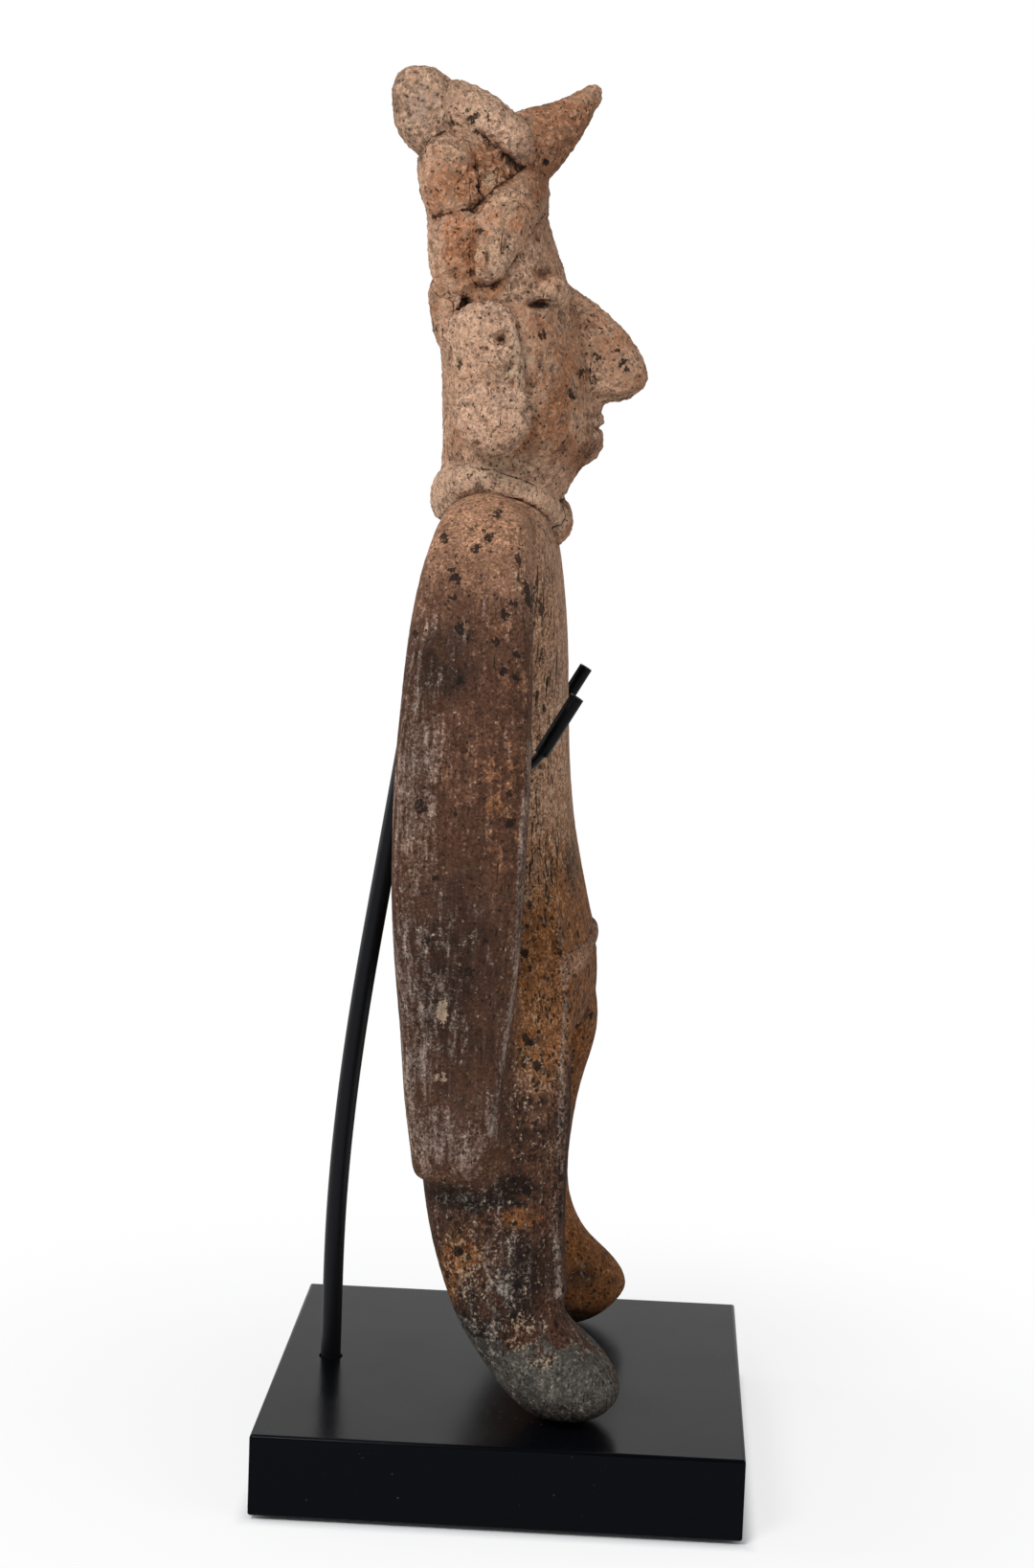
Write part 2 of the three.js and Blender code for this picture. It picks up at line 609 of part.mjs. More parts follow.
const prongFoot = new THREE.Vector3(prongX, footY, cradleZ - CRADLE_DIP);
const mirrored = (point) => new THREE.Vector3(-point.x, point.y, point.z);

function cradleWire(grow = 0) {
  const half = [prongTip, prongFoot, new THREE.Vector3(prongX, wireY, cradleZ)];
  const path = bentRun([...half, ...half.map(mirrored).reverse()], WIRE_BEND);
  return roundBar(path, WIRE_DIAMETER + 2 * grow, WIRE_STEPS);
}

// The rod leans forward to the wire, and is notched round it for the braze.
function uprightRod() {
  const corner = new THREE.Vector3(0, rodFoot.y, blockTop + ROD_STRAIGHT);
  const behindWire = wireY + (ROD_DIAMETER + WIRE_DIAMETER) / 2 - ROD_NOTCH;
  const atWire = new THREE.Vector3(0, behindWire, cradleZ);
  const lean = atWire.clone().sub(corner).normalize();
  const top = atWire.clone().addScaledVector(lean, ROD_OVERSHOOT);
  const path = bentRun([rodFoot, corner, top], ROD_BEND);
  return roundBar(path, ROD_DIAMETER, ROD_STEPS).subtract(cradleWire(SEAM));
}

// A tube over the prong, open at both ends.
function prongSleeve(tip, foot) {
  const down = foot.clone().sub(tip).normalize();
  const bore = WIRE_DIAMETER / 2 + SLEEVE_CLEARANCE;
  const ring = circle(bore + SLEEVE_WALL);
  ring.holes.push(new THREE.Path().absarc(0, 0, bore, 0, 2 * Math.PI, true));
  const start = tip.clone().addScaledVector(down, -SLEEVE_OVERHANG);
  const end = foot.clone().addScaledVector(down, -WIRE_BEND);
  const extrudePath = new THREE.LineCurve3(start, end);
  const options = { steps: 1, curveSegments: WIRE_SIDES / 2, bevelEnabled: false, extrudePath };
  return solidOf(new THREE.ExtrudeGeometry(ring, options));
}

stand.add(meshOf("base_block", baseBlock(), blackPaint));
stand.add(meshOf("felt_pad", feltPad(), blackFelt));
stand.add(meshOf("upright_rod", uprightRod(), blackSteel));
stand.add(meshOf("cradle_wire", cradleWire(), blackSteel));
stand.add(meshOf("left_prong_sleeve", prongSleeve(prongTip, prongFoot), blackTubing));
stand.add(meshOf("right_prong_sleeve", prongSleeve(mirrored(prongTip), mirrored(prongFoot)), blackTubing));

const object = new THREE.Group();
object.add(stand, figure);

export default object;
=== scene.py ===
"""Looks of a flat clay figure on its display stand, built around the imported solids.

The clay pieces are grown until their seams close, fused, pressed, roughened and painted as one figure,
and then parted again into one closed piece for each piece of clay. The stand keeps the solids' shapes.
"""

import math
from collections import Counter

import bmesh
import bpy
import numpy as np
from mathutils import Matrix, Vector, noise
from mathutils.bvhtree import BVHTree


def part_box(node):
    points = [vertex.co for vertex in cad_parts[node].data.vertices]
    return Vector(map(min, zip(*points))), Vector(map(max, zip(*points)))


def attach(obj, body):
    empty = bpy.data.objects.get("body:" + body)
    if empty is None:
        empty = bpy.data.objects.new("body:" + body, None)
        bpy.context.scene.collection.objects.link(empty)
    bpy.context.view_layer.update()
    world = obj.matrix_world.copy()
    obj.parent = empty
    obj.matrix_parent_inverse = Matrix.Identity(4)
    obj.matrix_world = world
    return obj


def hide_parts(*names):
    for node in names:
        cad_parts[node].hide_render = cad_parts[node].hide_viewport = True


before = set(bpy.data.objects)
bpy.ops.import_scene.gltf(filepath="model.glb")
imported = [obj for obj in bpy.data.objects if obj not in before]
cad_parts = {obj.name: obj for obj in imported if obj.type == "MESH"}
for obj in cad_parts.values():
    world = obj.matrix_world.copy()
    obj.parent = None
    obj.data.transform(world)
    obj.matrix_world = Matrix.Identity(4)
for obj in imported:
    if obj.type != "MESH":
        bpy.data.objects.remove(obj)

bl_info = {
    "name": "Flat clay figure",
    "version": (1, 0, 0),
    "blender": (4, 5, 0),
    "location": "3D View > Sidebar > Clay figure",
    "description": "Models the surface and finish of a clay figure and its display stand",
    "category": "Object",
}

MM = 0.001
RIGHT, LEFT, BOTH = -1, 1, 0
SIDES = ("right", "left")

# What is painted on the vertices of the clay, and read by its materials

CHANNELS = ("burnish", "flush", "soot_and_shade", "ash", "haze_and_sheen", "crust", "vein", "spot", "crease_shade", "worn", "rough",
            "seam", "open")


def both_sides(*names):
    return tuple(f"{side}_{name}" for name in names for side in SIDES)


BODY_NODES = ("torso", *both_sides("arm", "leg"), "belt")
HEAD_BLENDED = ("nose", "lips", *both_sides("eye", "ear", "ear_ornament"))
HEAD_NODES = ("head", *HEAD_BLENDED, "horn", "headband", "crest_roll", "necklace", "pendant",
              *both_sides("top_roll", "upper_lock", "lower_lock", "hair_tail"))

BASE_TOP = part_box("base_block")[1].z / MM
BELT_FRONT = (-8, -10.5)  # y where the belt starts to show, and where it shows fully

# How open the crevices between pieces of the head are. Names without a side stand for both sides.

CREVICES = [
    ("top_roll", "head", 0.55), ("horn", "head", 0.2), ("horn", "headband", 0.15),
    ("top_roll", "headband", 0.2), ("top_roll", "upper_lock", 0.45), ("horn", "upper_lock", 0.3),
    ("crest_roll", "head", 0.3), ("crest_roll", "upper_lock", 0.35), ("crest_roll", "top_roll", 0.12),
    ("upper_lock", "head", 0.3), ("upper_lock", "lower_lock", 0.5), ("upper_lock", "headband", 0.25),
    ("lower_lock", "head", 0.3), ("lower_lock", "headband", 0.12), ("lower_lock", "hair_tail", 0.25),
    ("headband", "head", 0.3), ("hair_tail", "head", 0.25), ("hair_tail", "ear", 0.15),
    ("necklace", "head", 0.12), ("necklace", "pendant", 0.45), ("pendant", "head", 0.35),
    ("ear", "head", 0.18), ("ear_ornament", "head", 0.2), ("nose", "head", 0.06),
]

# Marks pressed into the clay, in millimetres: side, place (y, z), half sizes, turn in degrees and depth.
# A depth below 0 raises the clay.

HEAD_MARKS = [
    (BOTH, (1.0, 260.4), (4.2, 1.5), 6, 3.2),  # eye slit
    (BOTH, (1.0, 267.4), (3.2, 2.2), 0, 1.4),  # hollow above the lid
    (RIGHT, (8.9, 252.8), (2.9, 2.2), -20, 2.6),  # pits in the ear
    (RIGHT, (12.0, 250.6), (1.1, 0.9), 0, 1.0),
    (RIGHT, (5.8, 243.4), (1.6, 2.4), 0, 1.4),
    (LEFT, (8.2, 251.0), (2.0, 1.6), 10, 1.3),
    (BOTH, (-11.6, 234.6), (4.0, 1.2), 0, 1.2),  # mouth
    (BOTH, (-10.2, 229.4), (4.8, 5.4), 0, -2.2),  # fullness of the chin
    (BOTH, (-21.4, 242.6), (4.0, 3.0), 0, 0.8),  # slant under the nose
    (RIGHT, (13.6, 274.6), (1.4, 0.8), 0, 0.8),
    (RIGHT, (18.0, 298.6), (0.9, 1.2), 0, 0.9),
    (RIGHT, (12.6, 269.4), (0.6, 3.4), 0, 0.9),  # crack beside the lock
]
BODY_MARKS = [
    (RIGHT, (15.0, 112.6), (1.7, 4.2), 12, 0.7),  # scars in the arm
    (RIGHT, (14.9, 98.4), (1.9, 1.4), 30, 0.5),
    (RIGHT, (20.5, 176.0), (2.0, 3.0), 0, 0.35),
    (LEFT, (12.0, 141.0), (2.4, 5.0), -15, 0.4),
]

# Sharp edges that a tool left: side, how far out they start, half width, height, and points (y, z) along them.

LEG_EDGE = [(-7.8, 132), (-8.6, 123), (-10.2, 113), (-10.2, 102), (-10.6, 86), (-10.3, 73), (-10.4, 60),
            (-11.5, 48)]
BODY_RIDGES = [
    (BOTH, 52, 1.6, 0.35, [(-1.1, 170), (-1.1, 165), (-0.7, 153), (-0.1, 122), (2.4, 99), (3.8, 86)]),
    (RIGHT, 30, 2.0, 1.4, LEG_EDGE),
]

# Painted patches, in millimetres, for each channel and side: y, z, half sizes, strength and, where it is
# turned, the turn in degrees

BODY_PATCHES = {
    ("soot_and_shade", RIGHT): [
        (16.5, 186.6, 13, 15, 0.75), (22, 172, 8, 26, 0.35), (14, 116, 22, 50, 0.7), (9.5, 71, 13, 5, 0.9),
        (-1.1, 73.3, 8, 4.6, 0.9), (-3, 53, 9, 18, 0.8), (7, 40, 11, 16, 0.6), (-2, 88, 14, 22, 0.4),
        # The first patch here is painted shade on the lower side of the foot
        (-8, 22, 26, 9, 0.9), (-10.5, 140, 4, 14, 0.7),
    ],
    ("soot_and_shade", LEFT): [
        # The first patch is a painted shadow under the far foot, where it meets the base
        (-4, 21, 26, 8, 2.4), (-14, 32, 18, 16, 0.35), (6, 150, 18, 30, 0.55), (0, 84, 16, 10, 0.6),
        (6, 46, 8, 26, 0.55),
    ],
    ("flush", RIGHT): [
        (3, 160, 9, 40, 0.22), (-6, 114, 9, 28, 0.8), (9.5, 58.6, 8, 9, 0.9), (13, 48, 6, 13, 0.9),
        (-2.9, 66.8, 7, 4, 1),
    ],
    ("flush", LEFT): [(-6, 80, 40, 80, 1.3)],
    ("ash", RIGHT): [
        (-10, 28, 30, 17, 1.5), (7, 36, 12, 13, 0.7), (2, 52, 10, 18, 0.25), (8, 70, 14, 6, 0.45),
    ],
    ("haze_and_sheen", RIGHT): [
        # The first two, on the back of the arm, are pale bloom with a painted sheen in it
        (22, 165, 11, 44, 0.65), (21, 110, 14, 46, 0.65), (12, 84, 16, 14, 0.6), (2, 54, 18, 30, 0.45),
        (-8, 190, 6, 32, 0.6),
    ],
    ("crust", RIGHT): [
        (-3.9, 42.5, 7, 8, 0.75), (-8.7, 35.6, 7, 3.4, 0.75), (-4, 104, 9, 40, 0.55), (8, 56, 12, 18, 0.5),
        (15, 112.6, 2, 5.4, 1.9), (14.9, 98.4, 2.4, 2.2, 1.2), (1.5, 206, 5, 22, 0.45),
    ],
    ("crust", LEFT): [(18, 130, 9, 34, 0.4)],
    ("vein", RIGHT): [(0.8, 202, 3.4, 15, 0.55, -20), (-4.6, 182, 2.6, 15, 0.35), (-5.6, 141, 3.6, 18, 0.4)],
}
HEAD_PATCHES = {
    ("flush", RIGHT): [(14, 287, 9, 10, 0.8), (6, 276, 9, 8, 0.35)],
    ("flush", LEFT): [(12, 262, 16, 26, 0.4)],
    ("flush", BOTH): [
        (-3, 294, 16, 16, 1), (-4, 244, 6, 22, 0.8), (-15, 254, 10, 10, 0.4), (-9, 228, 9, 9, 0.5),
        (20, 284, 9, 11, 0.5), (14, 262, 8, 14, 0.4), (18, 271, 7, 11, 0.9), (2, 232, 12, 8, 0.45),
    ],
    ("crust", RIGHT): [
        (12.6, 286.4, 4.2, 4.6, 0.8), (4.6, 247, 5, 14, 0.7), (8, 267.5, 5, 7, 0.6), (8, 226, 14, 5, 0.8),
        (13, 270, 9, 7, 0.4),
    ],
    ("haze_and_sheen", BOTH): [(29, 301, 10, 13, 0.7)],
    # Soot on the head: painted shade in the ear's pit, under the chin, in the eye slit and in the hollow above
    # the lid, and a darker patch on the front of the horn
    ("soot_and_shade", RIGHT): [(8.9, 252.8, 2, 1.5, 0.9)],
    ("soot_and_shade", BOTH): [
        (-9, 228, 8, 8, 0.3), (1, 260.4, 3.6, 1.3, 1.2), (1.2, 267.6, 2.6, 1.8, 0.45), (-8, 292, 14, 12, 0.25),
    ],
}

# Dark mineral spots on the right side, in millimetres: y, z and radius

BODY_SPOTS = [
    (3.2, 198.6, 1.3), (4.9, 196.2, 1.2), (13.8, 193.2, 1.5), (12.2, 191.8, 0.9), (23.2, 191.6, 1.1),
    (6.3, 190.6, 1.2), (1.9, 188.4, 1.1), (13.4, 182.6, 1.2), (2.0, 183.6, 1.3), (4.6, 185.0, 1.2),
    (20.5, 156.7, 1.9), (15.4, 203.4, 1.3), (16.4, 205.2, 0.8), (15.2, 199.6, 0.9), (9.0, 212.0, 1.5),
    (11.4, 209.8, 1.4), (18.2, 211.4, 1.4), (7.6, 216.6, 1.2), (2.6, 159.8, 1.1), (1.9, 153.6, 1.4),
    (13.0, 155.4, 0.9), (16.6, 141.4, 1.0), (9.4, 121.6, 1.3), (18.4, 128.0, 1.0), (6.2, 128.8, 0.8),
]
HEAD_SPOTS = [
    (-11.0, 250.0, 1.5), (-7.7, 246.4, 1.1), (-10.6, 244.8, 1.2), (-16.8, 249.2, 1.2), (-17.6, 247.2, 1.0),
    (-5.9, 241.7, 1.3), (0.6, 254.2, 1.1), (16.9, 299.2, 1.1), (1.8, 291.4, 0.9), (14.4, 275.0, 1.0),
    (17.6, 247.0, 0.9), (-15.4, 251.6, 1.0),
]

# Dark streaks on the right side, in millimetres: y, z, half sizes and turn in degrees

BODY_STREAKS = [
    (2.6, 207.0, 0.9, 3.2, -16), (0.4, 200.5, 1.1, 6.5, -14), (-1.6, 196.5, 0.8, 4.0, -12),
    (-2.0, 186.0, 0.7, 3.0, 0),
]

# The photograph's view: the camera's own x, y and z axes

CAMERA_AXES = ((0.04817, -0.99815, 0.03705), (0.12444, 0.0428, 0.9913), (-0.99106, -0.04314, 0.12627))

# Lamps: name, place, aim, width in metres and power in watts

LAMPS = [
    ("overhead", (-0.82, 0.4, 0.8), (0, 0, 0.18), 0.4, 8.6),
    ("left_side", (0.1, 0.9, 0.4), (0, 0, 0.16), 0.5, 2.3),
    ("right_side", (-0.5, -0.85, 0.5), (0, 0, 0.16), 1.0, 3.0),
]
WHITE = (1, 1, 1, 1)


def linear(code):
    """A screen colour as the linear values that shaders use."""
    parts = [int(code[i:i + 2], 16) / 255 for i in (1, 3, 5)]
    return tuple(c / 12.92 if c <= 0.04045 else ((c + 0.055) / 1.055) ** 2.4 for c in parts)


def length(name, description, default):
    return bpy.props.FloatProperty(name=name, description=description, default=default * MM, unit="LENGTH")


def colour(name, description, code):
    return bpy.props.FloatVectorProperty(
        name=name, description=description, default=linear(code), subtype="COLOR", min=0, max=1)


class ClaySettings(bpy.types.PropertyGroup):
    """Sizes and colours of the clay."""

    growth: length("Growth", "How far each piece grows so that its seams close", 0.3)
    closing: length("Closing", "How far the head's pieces grow and shrink again so that notches fill", 0.6)
    body_mesh: length("Body mesh", "Mesh size of the torso, arms and legs", 0.62)
    head_mesh: length("Head mesh", "Mesh size of the head and what is pressed onto it", 0.42)
    lumps: length("Lumps", "Height of what the potter's fingers left", 0.35)
    grit: length("Grit", "Height of the sandy grain of the head", 0.3)
    pits: length("Pits", "Depth of the pits where grains fell out", 0.7)
    crevice: length("Crevice", "Depth of the crevices between the pieces of the headdress", 0.8)
    tan: colour("Tan", "Bare fired clay", "#A27A60")
    sand: colour("Sand", "Gritty clay of the head", "#BD977C")
    brown: colour("Brown", "Burnished slip", "#52392D")
    orange: colour("Orange", "Slip where the fire was clear", "#875731")
    rose: colour("Rose", "Bare clay where the fire was clear", "#945F3E")
    # Smoked clay, and also the colour of painted shade: under and low on the feet, between the legs, past the
    # leg's front edge and in the head's pits
    soot_and_shade: colour("Soot", "Smoked clay", "#2C231F")
    black: colour("Black", "Mineral spots", "#1F1B19")
    ash: colour("Ash", "Grey dust and ash", "#565550")
    # Pale bloom, and also painted sheen on the back of the arm and painted highlights along the ridges
    haze_and_sheen: colour("Haze", "Pale bloom on the slip", "#8B8077")
    cream: colour("Cream", "Pale crust", "#BFA78B")
    # Worn edges, and also a painted highlight where the clay stands out
    pale: colour("Pale", "Worn edges", "#D6B298")


class StandSettings(bpy.types.PropertyGroup):
    """Sizes and colours of the stand."""

    edge: length("Edge", "Width of the rounded edges of the base", 0.35)
    paint: colour("Paint", "Satin paint of the base", "#07080B")
    steel: colour("Steel", "Enamel of the rod and the wire", "#0B0B0D")
    tubing: colour("Tubing", "Sleeves of the prongs", "#060607")
    felt: colour("Felt", "Felt under the base", "#15161A")
    dust: colour("Dust", "Dust on the base", "#8E8A86")


class StageSettings(bpy.types.PropertyGroup):
    """Camera, floor and light."""

    camera_place: bpy.props.FloatVectorProperty(
        name="Camera", description="Where the camera stands", subtype="XYZ", unit="LENGTH",
        default=(-0.688935, -0.026518, 0.241941))
    lens: bpy.props.FloatProperty(
        name="Lens", description="Focal length on a 36 mm long side", default=70.746, min=10)
    floor: colour("Floor", "Pale floor", "#F4F5F7")
    daylight: bpy.props.FloatProperty(
        name="Daylight", description="Strength of the light from all round", default=0.34, min=0)


def settings(name):
    return getattr(bpy.context.scene, f"figure_{name}")


# Shader nodes


class Socket:
    """One output of a shader node. Arithmetic on it adds Math nodes."""

    def __init__(self, shader, output):
        self.shader, self.output = shader, output

    def __add__(self, other):
        return self.shader.math("ADD", self, other)

    def __sub__(self, other):
        return self.shader.math("SUBTRACT", self, other)

    def __rsub__(self, other):
        return self.shader.math("SUBTRACT", other, self)

    def __mul__(self, other):
        return self.shader.math("MULTIPLY", self, other)

    def __rpow__(self, other):
        return self.shader.math("POWER", other, self)

    __radd__ = __add__
    __rmul__ = __mul__


class Shader:
    """The node tree of a material or a world."""

    def __init__(self, owner, coordinates="Object"):
        self.owner = owner
        owner.use_nodes = True
        self.tree = owner.node_tree
        self.tree.nodes.clear()
        place = self.node("ShaderNodeTexCoord", output=coordinates)
        self.place = self.vector("SCALE", place, Scale=1 / MM)

    def node(self, kind, chosen=(), sockets=(), output=0):
        """Adds a node, sets its properties and sockets, and returns one of its outputs."""
        made = self.tree.nodes.new(kind)
        for key, value in dict(chosen).items():
            setattr(made, key, value)
        for key, value in dict(sockets).items():
            if isinstance(value, Socket):
                self.tree.links.new(value.output, made.inputs[key])
            else:
                made.inputs[key].default_value = value
        return Socket(self, made.outputs[output]) if made.outputs else made

    def math(self, operation, *values):
        return self.node("ShaderNodeMath", {"operation": operation}, enumerate(values))

    def vector(self, operation, *values, output=0, **named):
        sockets = {**dict(enumerate(values)), **named}
        return self.node("ShaderNodeVectorMath", {"operation": operation}, sockets, output)

    def painted(self, channel):
        """What was painted on the piece's own vertices."""
        return self.node("ShaderNodeAttribute", {"attribute_name": channel}, output="Fac")

    def cloud(self, size, detail=3.0, rough=0.55, stretch=None):
        """Noise about 0, mostly within 1, with lumps of this size in millimetres."""
        place = self.vector("DIVIDE", self.place, stretch) if stretch else self.place
        made = self.node("ShaderNodeTexNoise", {}, {
            "Vector": place, "Scale": 1 / size, "Detail": detail, "Roughness": rough})
        return 4 * (made - 0.5)

    def cells(self, size, place, output="Distance"):
        """Grains about this size in millimetres: the distance from a grain's middle, or a colour of its own."""
        return self.node("ShaderNodeTexVoronoi", {"feature": "F1"}, {
            "Vector": place, "Scale": 1 / size}, output)

    def dots(self, size, radius, ragged):
        """Dots of many sizes up to this share of a cell, one in each cell of this size in millimetres."""
        place = self.shaken(ragged, ragged)
        own = self.node("ShaderNodeSeparateColor", {}, {0: self.cells(size, place, "Color")})
        return self.step(radius * own * own - self.cells(size, place), -0.03, 0.03)

    def sand(self, size):
        """A value from about -1 to 1 for each grain of sand."""
        tint = self.cells(size, self.shaken(0.6 * size, 0.5 * size), "Color")
        return 2 * self.node("ShaderNodeSeparateColor", {}, {0: tint}) - 1

    def shaken(self, size, amount):
        """The place, moved about by noise, so that edges are ragged."""
        wobble = self.node("ShaderNodeTexNoise", {}, {
            "Vector": self.place, "Scale": 1 / size, "Detail": 3.0}, "Color")
        centred = self.vector("SUBTRACT", wobble, (0.5, 0.5, 0.5))
        return self.vector("ADD", self.place, self.vector("SCALE", centred, Scale=amount))

    def step(self, value, low, high):
        """0 below low, 1 above high, and smooth between them."""
        return self.node("ShaderNodeMapRange", {"interpolation_type": "SMOOTHSTEP"}, {
            "Value": value, "From Min": low, "From Max": high})

    def mix(self, amount, first, second, blend="MIX"):
        tints = [c if isinstance(c, Socket) else (*c, 1) for c in (first, second)]
        return self.node("ShaderNodeMix", {"data_type": "RGBA", "blend_type": blend}, {
            0: amount, 6: tints[0], 7: tints[1]}, 2)

    def layered(self, base, layers):
        """Colours laid over one another, each by its own mask."""
        for mask, tint in layers:
            base = self.mix(mask, base, tint)
        return base

    def grey(self, value):
        return self.node("ShaderNodeCombineColor", {}, {0: value, 1: value, 2: value})

    def finish(self, base, roughness, height, depth, strength, **fixed):
        """Joins the parts in a Principled shader. Height is in shares of the depth, in millimetres."""
        bump = self.node("ShaderNodeBump", {}, {
            "Height": height, "Distance": depth * MM, "Strength": strength})
        shader = self.node("ShaderNodeBsdfPrincipled", {}, {
            "Base Color": base, "Roughness": roughness, "Normal": bump, **fixed})
        self.node("ShaderNodeOutputMaterial", {}, {"Surface": shader})
        return self.owner

    def seen(self):
        """1 for what the camera sees directly, in a mirror or through glass, and 0 for light."""
        kinds = ("Camera", "Glossy", "Transmission")
        camera, mirror, glass = (self.node("ShaderNodeLightPath", output=f"Is {kind} Ray") for kind in kinds)
        return self.step(camera + mirror + glass, 0, 1)


def new_material(name):
    return Shader(bpy.data.materials.new(name))


def clay_material(name, gritty):
    """Fired clay: bare and gritty, or under slip that the paint called rough leaves torn and smoked."""
    clay = settings("clay")
    s = new_material(name)
    ground, fired, dark = (clay.sand, clay.rose, clay.rose) if gritty else (clay.tan, clay.orange, clay.brown)
    broad, blotch = s.cloud(24, 2), s.cloud(6, 5, 0.62)
    fine, grain = s.cloud(1.7, 5, 0.7), s.cloud(0.6, 3, 0.75)
    streak = s.cloud(1.6, 4, 0.6, (1, 1, 9))
    sand = s.sand(0.75 if gritty else 0.55)
    rough = s.painted("rough")
    torn, soft = (1.1, 0.25) if gritty else (0.6 + 0.4 * rough, 0.35 - 0.2 * rough)
    ragged = torn * (0.8 * blotch + 0.6 * fine + 0.3 * grain + 0.1 * sand)
    burnish = s.step(s.painted("burnish") + 0.3 * broad + 0.45 * blotch + 0.45 * streak + 0.3 * fine, 0.0, 1.0)
    flush = s.step(s.painted("flush") + ragged + 0.2 * streak, 0.45 - soft, 0.45 + soft)
    soot_and_shade = s.step(s.painted("soot_and_shade") + ragged, 0.5 - soft, 0.5 + soft)
    ash = s.step(s.painted("ash") + ragged, 0.5 - soft, 0.5 + soft) * s.step(s.painted("ash"), 0, 0.2)
    haze_and_sheen = s.step(s.painted("haze_and_sheen") + 0.7 * streak + 0.2 * blotch + 0.35 * fine + 0.6 * grain, 0.2, 1.3)
    worn = s.painted("worn") + 0.4 * fine + 0.3 * blotch
    base = s.layered(ground, [
        (burnish, clay.brown),
        (flush * 0.8, fired),
        # Paler where the clay stands out, partly wear and partly painted highlight, then painted shade in broad
        # hollows
        (s.step(worn, 0.0, 0.9) * (0.5 if gritty else 0.08), clay.pale),
        (s.step(-1 * worn, 0.0, 0.9) * (0.6 if gritty else 0.3), dark),
        # Smoke stains, and painted shade where the soot channel was laid for it
        (soot_and_shade * 0.85, s.mix(rough, clay.soot_and_shade, clay.black)),
        (ash * 0.92, s.mix(0.55 * soot_and_shade, clay.ash, clay.soot_and_shade)),
        # Pale bloom, with painted sheen and highlight where the channel was laid for them
        (haze_and_sheen * 0.55, clay.haze_and_sheen),
    ])
    bare = 1.0 if gritty else 1.6 - 0.6 * burnish + 0.6 * rough
    mottle = 1.2 * fine + 0.7 * grain + 0.4 * sand if gritty else 0.65 * fine + 0.8 * grain + 0.35 * sand
    running = (0.2 if gritty else 0.7 - 0.3 * rough) + s.painted("vein")
    shade = bare * mottle + running * streak + (0.9 if gritty else 0.45) * blotch + 0.25 * broad
    base = s.mix(1.0, base, s.grey(2.0 ** shade), "MULTIPLY")
    crust = s.step(s.painted("crust") + 0.9 * fine + 0.7 * grain + 0.25 * sand, 0.7, 1.0)
    dusted = 0.1 if gritty else 0.4 * s.painted("haze_and_sheen") - 0.1
    fleck = s.step(0.6 * fine + 0.9 * grain + 0.2 * sand + dusted, 0.9, 1.1)
    # Painted shade in creases
    hollow = s.step(s.painted("crease_shade") + 0.3 * fine, 0.2, 1.0)
    speck = s.dots(1.3, 0.34 if gritty else 0.3 + 0.25 * rough, 0.7)
    spot = s.step(s.painted("spot") + 0.9 * s.cloud(1.0, 3, 0.65), 0.45, 0.55)
    vein = s.step(s.painted("vein") + 1.3 * s.cloud(0.9, 3, 0.6, (1, 1, 11)), 0.85, 0.97)
    stains = [spot, vein]
    if not gritty:
        stains += [s.dots(8, 0.16, 2.2) * s.step(broad, 0.0, 0.3), s.dots(3.4, 0.42 * rough, 1.8) * (1 - ash)]
    seam, opening = s.math("ABSOLUTE", s.painted("seam")), s.painted("open")
    gap = s.step(opening * (0.75 + 0.5 * blotch) - seam + 0.25 * fine, 0.0, 0.15) * s.step(opening, 0, 0.1)
    base = s.layered(base, [
        (crust * (0.65 if gritty else 0.55), clay.cream),
        (fleck * 0.4, clay.cream),
        # Painted shade in creases
        (hollow * 0.55, clay.soot_and_shade),
        (speck * (0.7 if gritty else 0.85 - 0.6 * ash), clay.soot_and_shade),
        *((stain * 0.88, clay.black) for stain in stains),
        (gap * 0.85, clay.black),
    ])
    if gritty:
        pores = s.step(s.cells(1.1, s.shaken(0.7, 0.8)), 0.1, 0.5)
        height = 0.35 * fine + 0.3 * grain + 0.15 * sand + 0.7 * pores - gap
        return s.finish(base, 0.92, height, depth=0.5, strength=1.0, **{"Specular IOR Level": 0.06})
    height = 0.4 * fine + 0.3 * grain + 0.1 * sand + 0.3 * streak + 0.25 * crust - 0.3 * speck - 0.5 * gap
    dull = 0.1 * soot_and_shade + 0.15 * ash + 0.2 * crust + 0.1 * haze_and_sheen
    return s.finish(base, 0.62 + 0.08 * fine + dull, (0.45 + 0.55 * rough) * height, depth=0.45, strength=0.9,
                    **{"Specular IOR Level": 0.015})


def painted_material(name, tint, rough, dust, grain, shine, crumbs=None):
    """Black paint, enamel or tubing with a little dust in it, and crumbs of clay round a place."""
    s = new_material(name)
    fine, broad = s.cloud(0.6, 4), s.cloud(18, 3)
    dot = (1 - s.step(s.cells(2.6, s.shaken(0.7, 0.6)), 0.05, 0.1)) * s.step(s.cloud(9, 2), 0.1, 0.5)
    if crumbs:
        away = s.vector("DISTANCE", s.place, crumbs, output="Value")
        dot = dot + s.step(away, 17, 4) * s.dots(1.5, 0.25, 0.6)
    base = s.mix(s.step(dust * dot + 0.006 * fine, 0, 1), tint, settings("stand").dust)
    return s.finish(base, rough + 0.04 * broad + 0.03 * fine, fine, depth=grain, strength=0.4,
                    **{"Specular IOR Level": shine, "Specular Tint": (0.9, 0.93, 1.0, 1.0)})


def felt_material(name, tint):
    s = new_material(name)
    fibre = s.step(s.cloud(0.35, 5, 0.7), -1, 1)
    base = s.mix(fibre, tint, tuple(3 * c for c in tint))
    return s.finish(base, 0.95, fibre, depth=0.3, strength=1.0,
                    **{"Specular IOR Level": 0.1, "Sheen Weight": 0.3})


# Mesh work


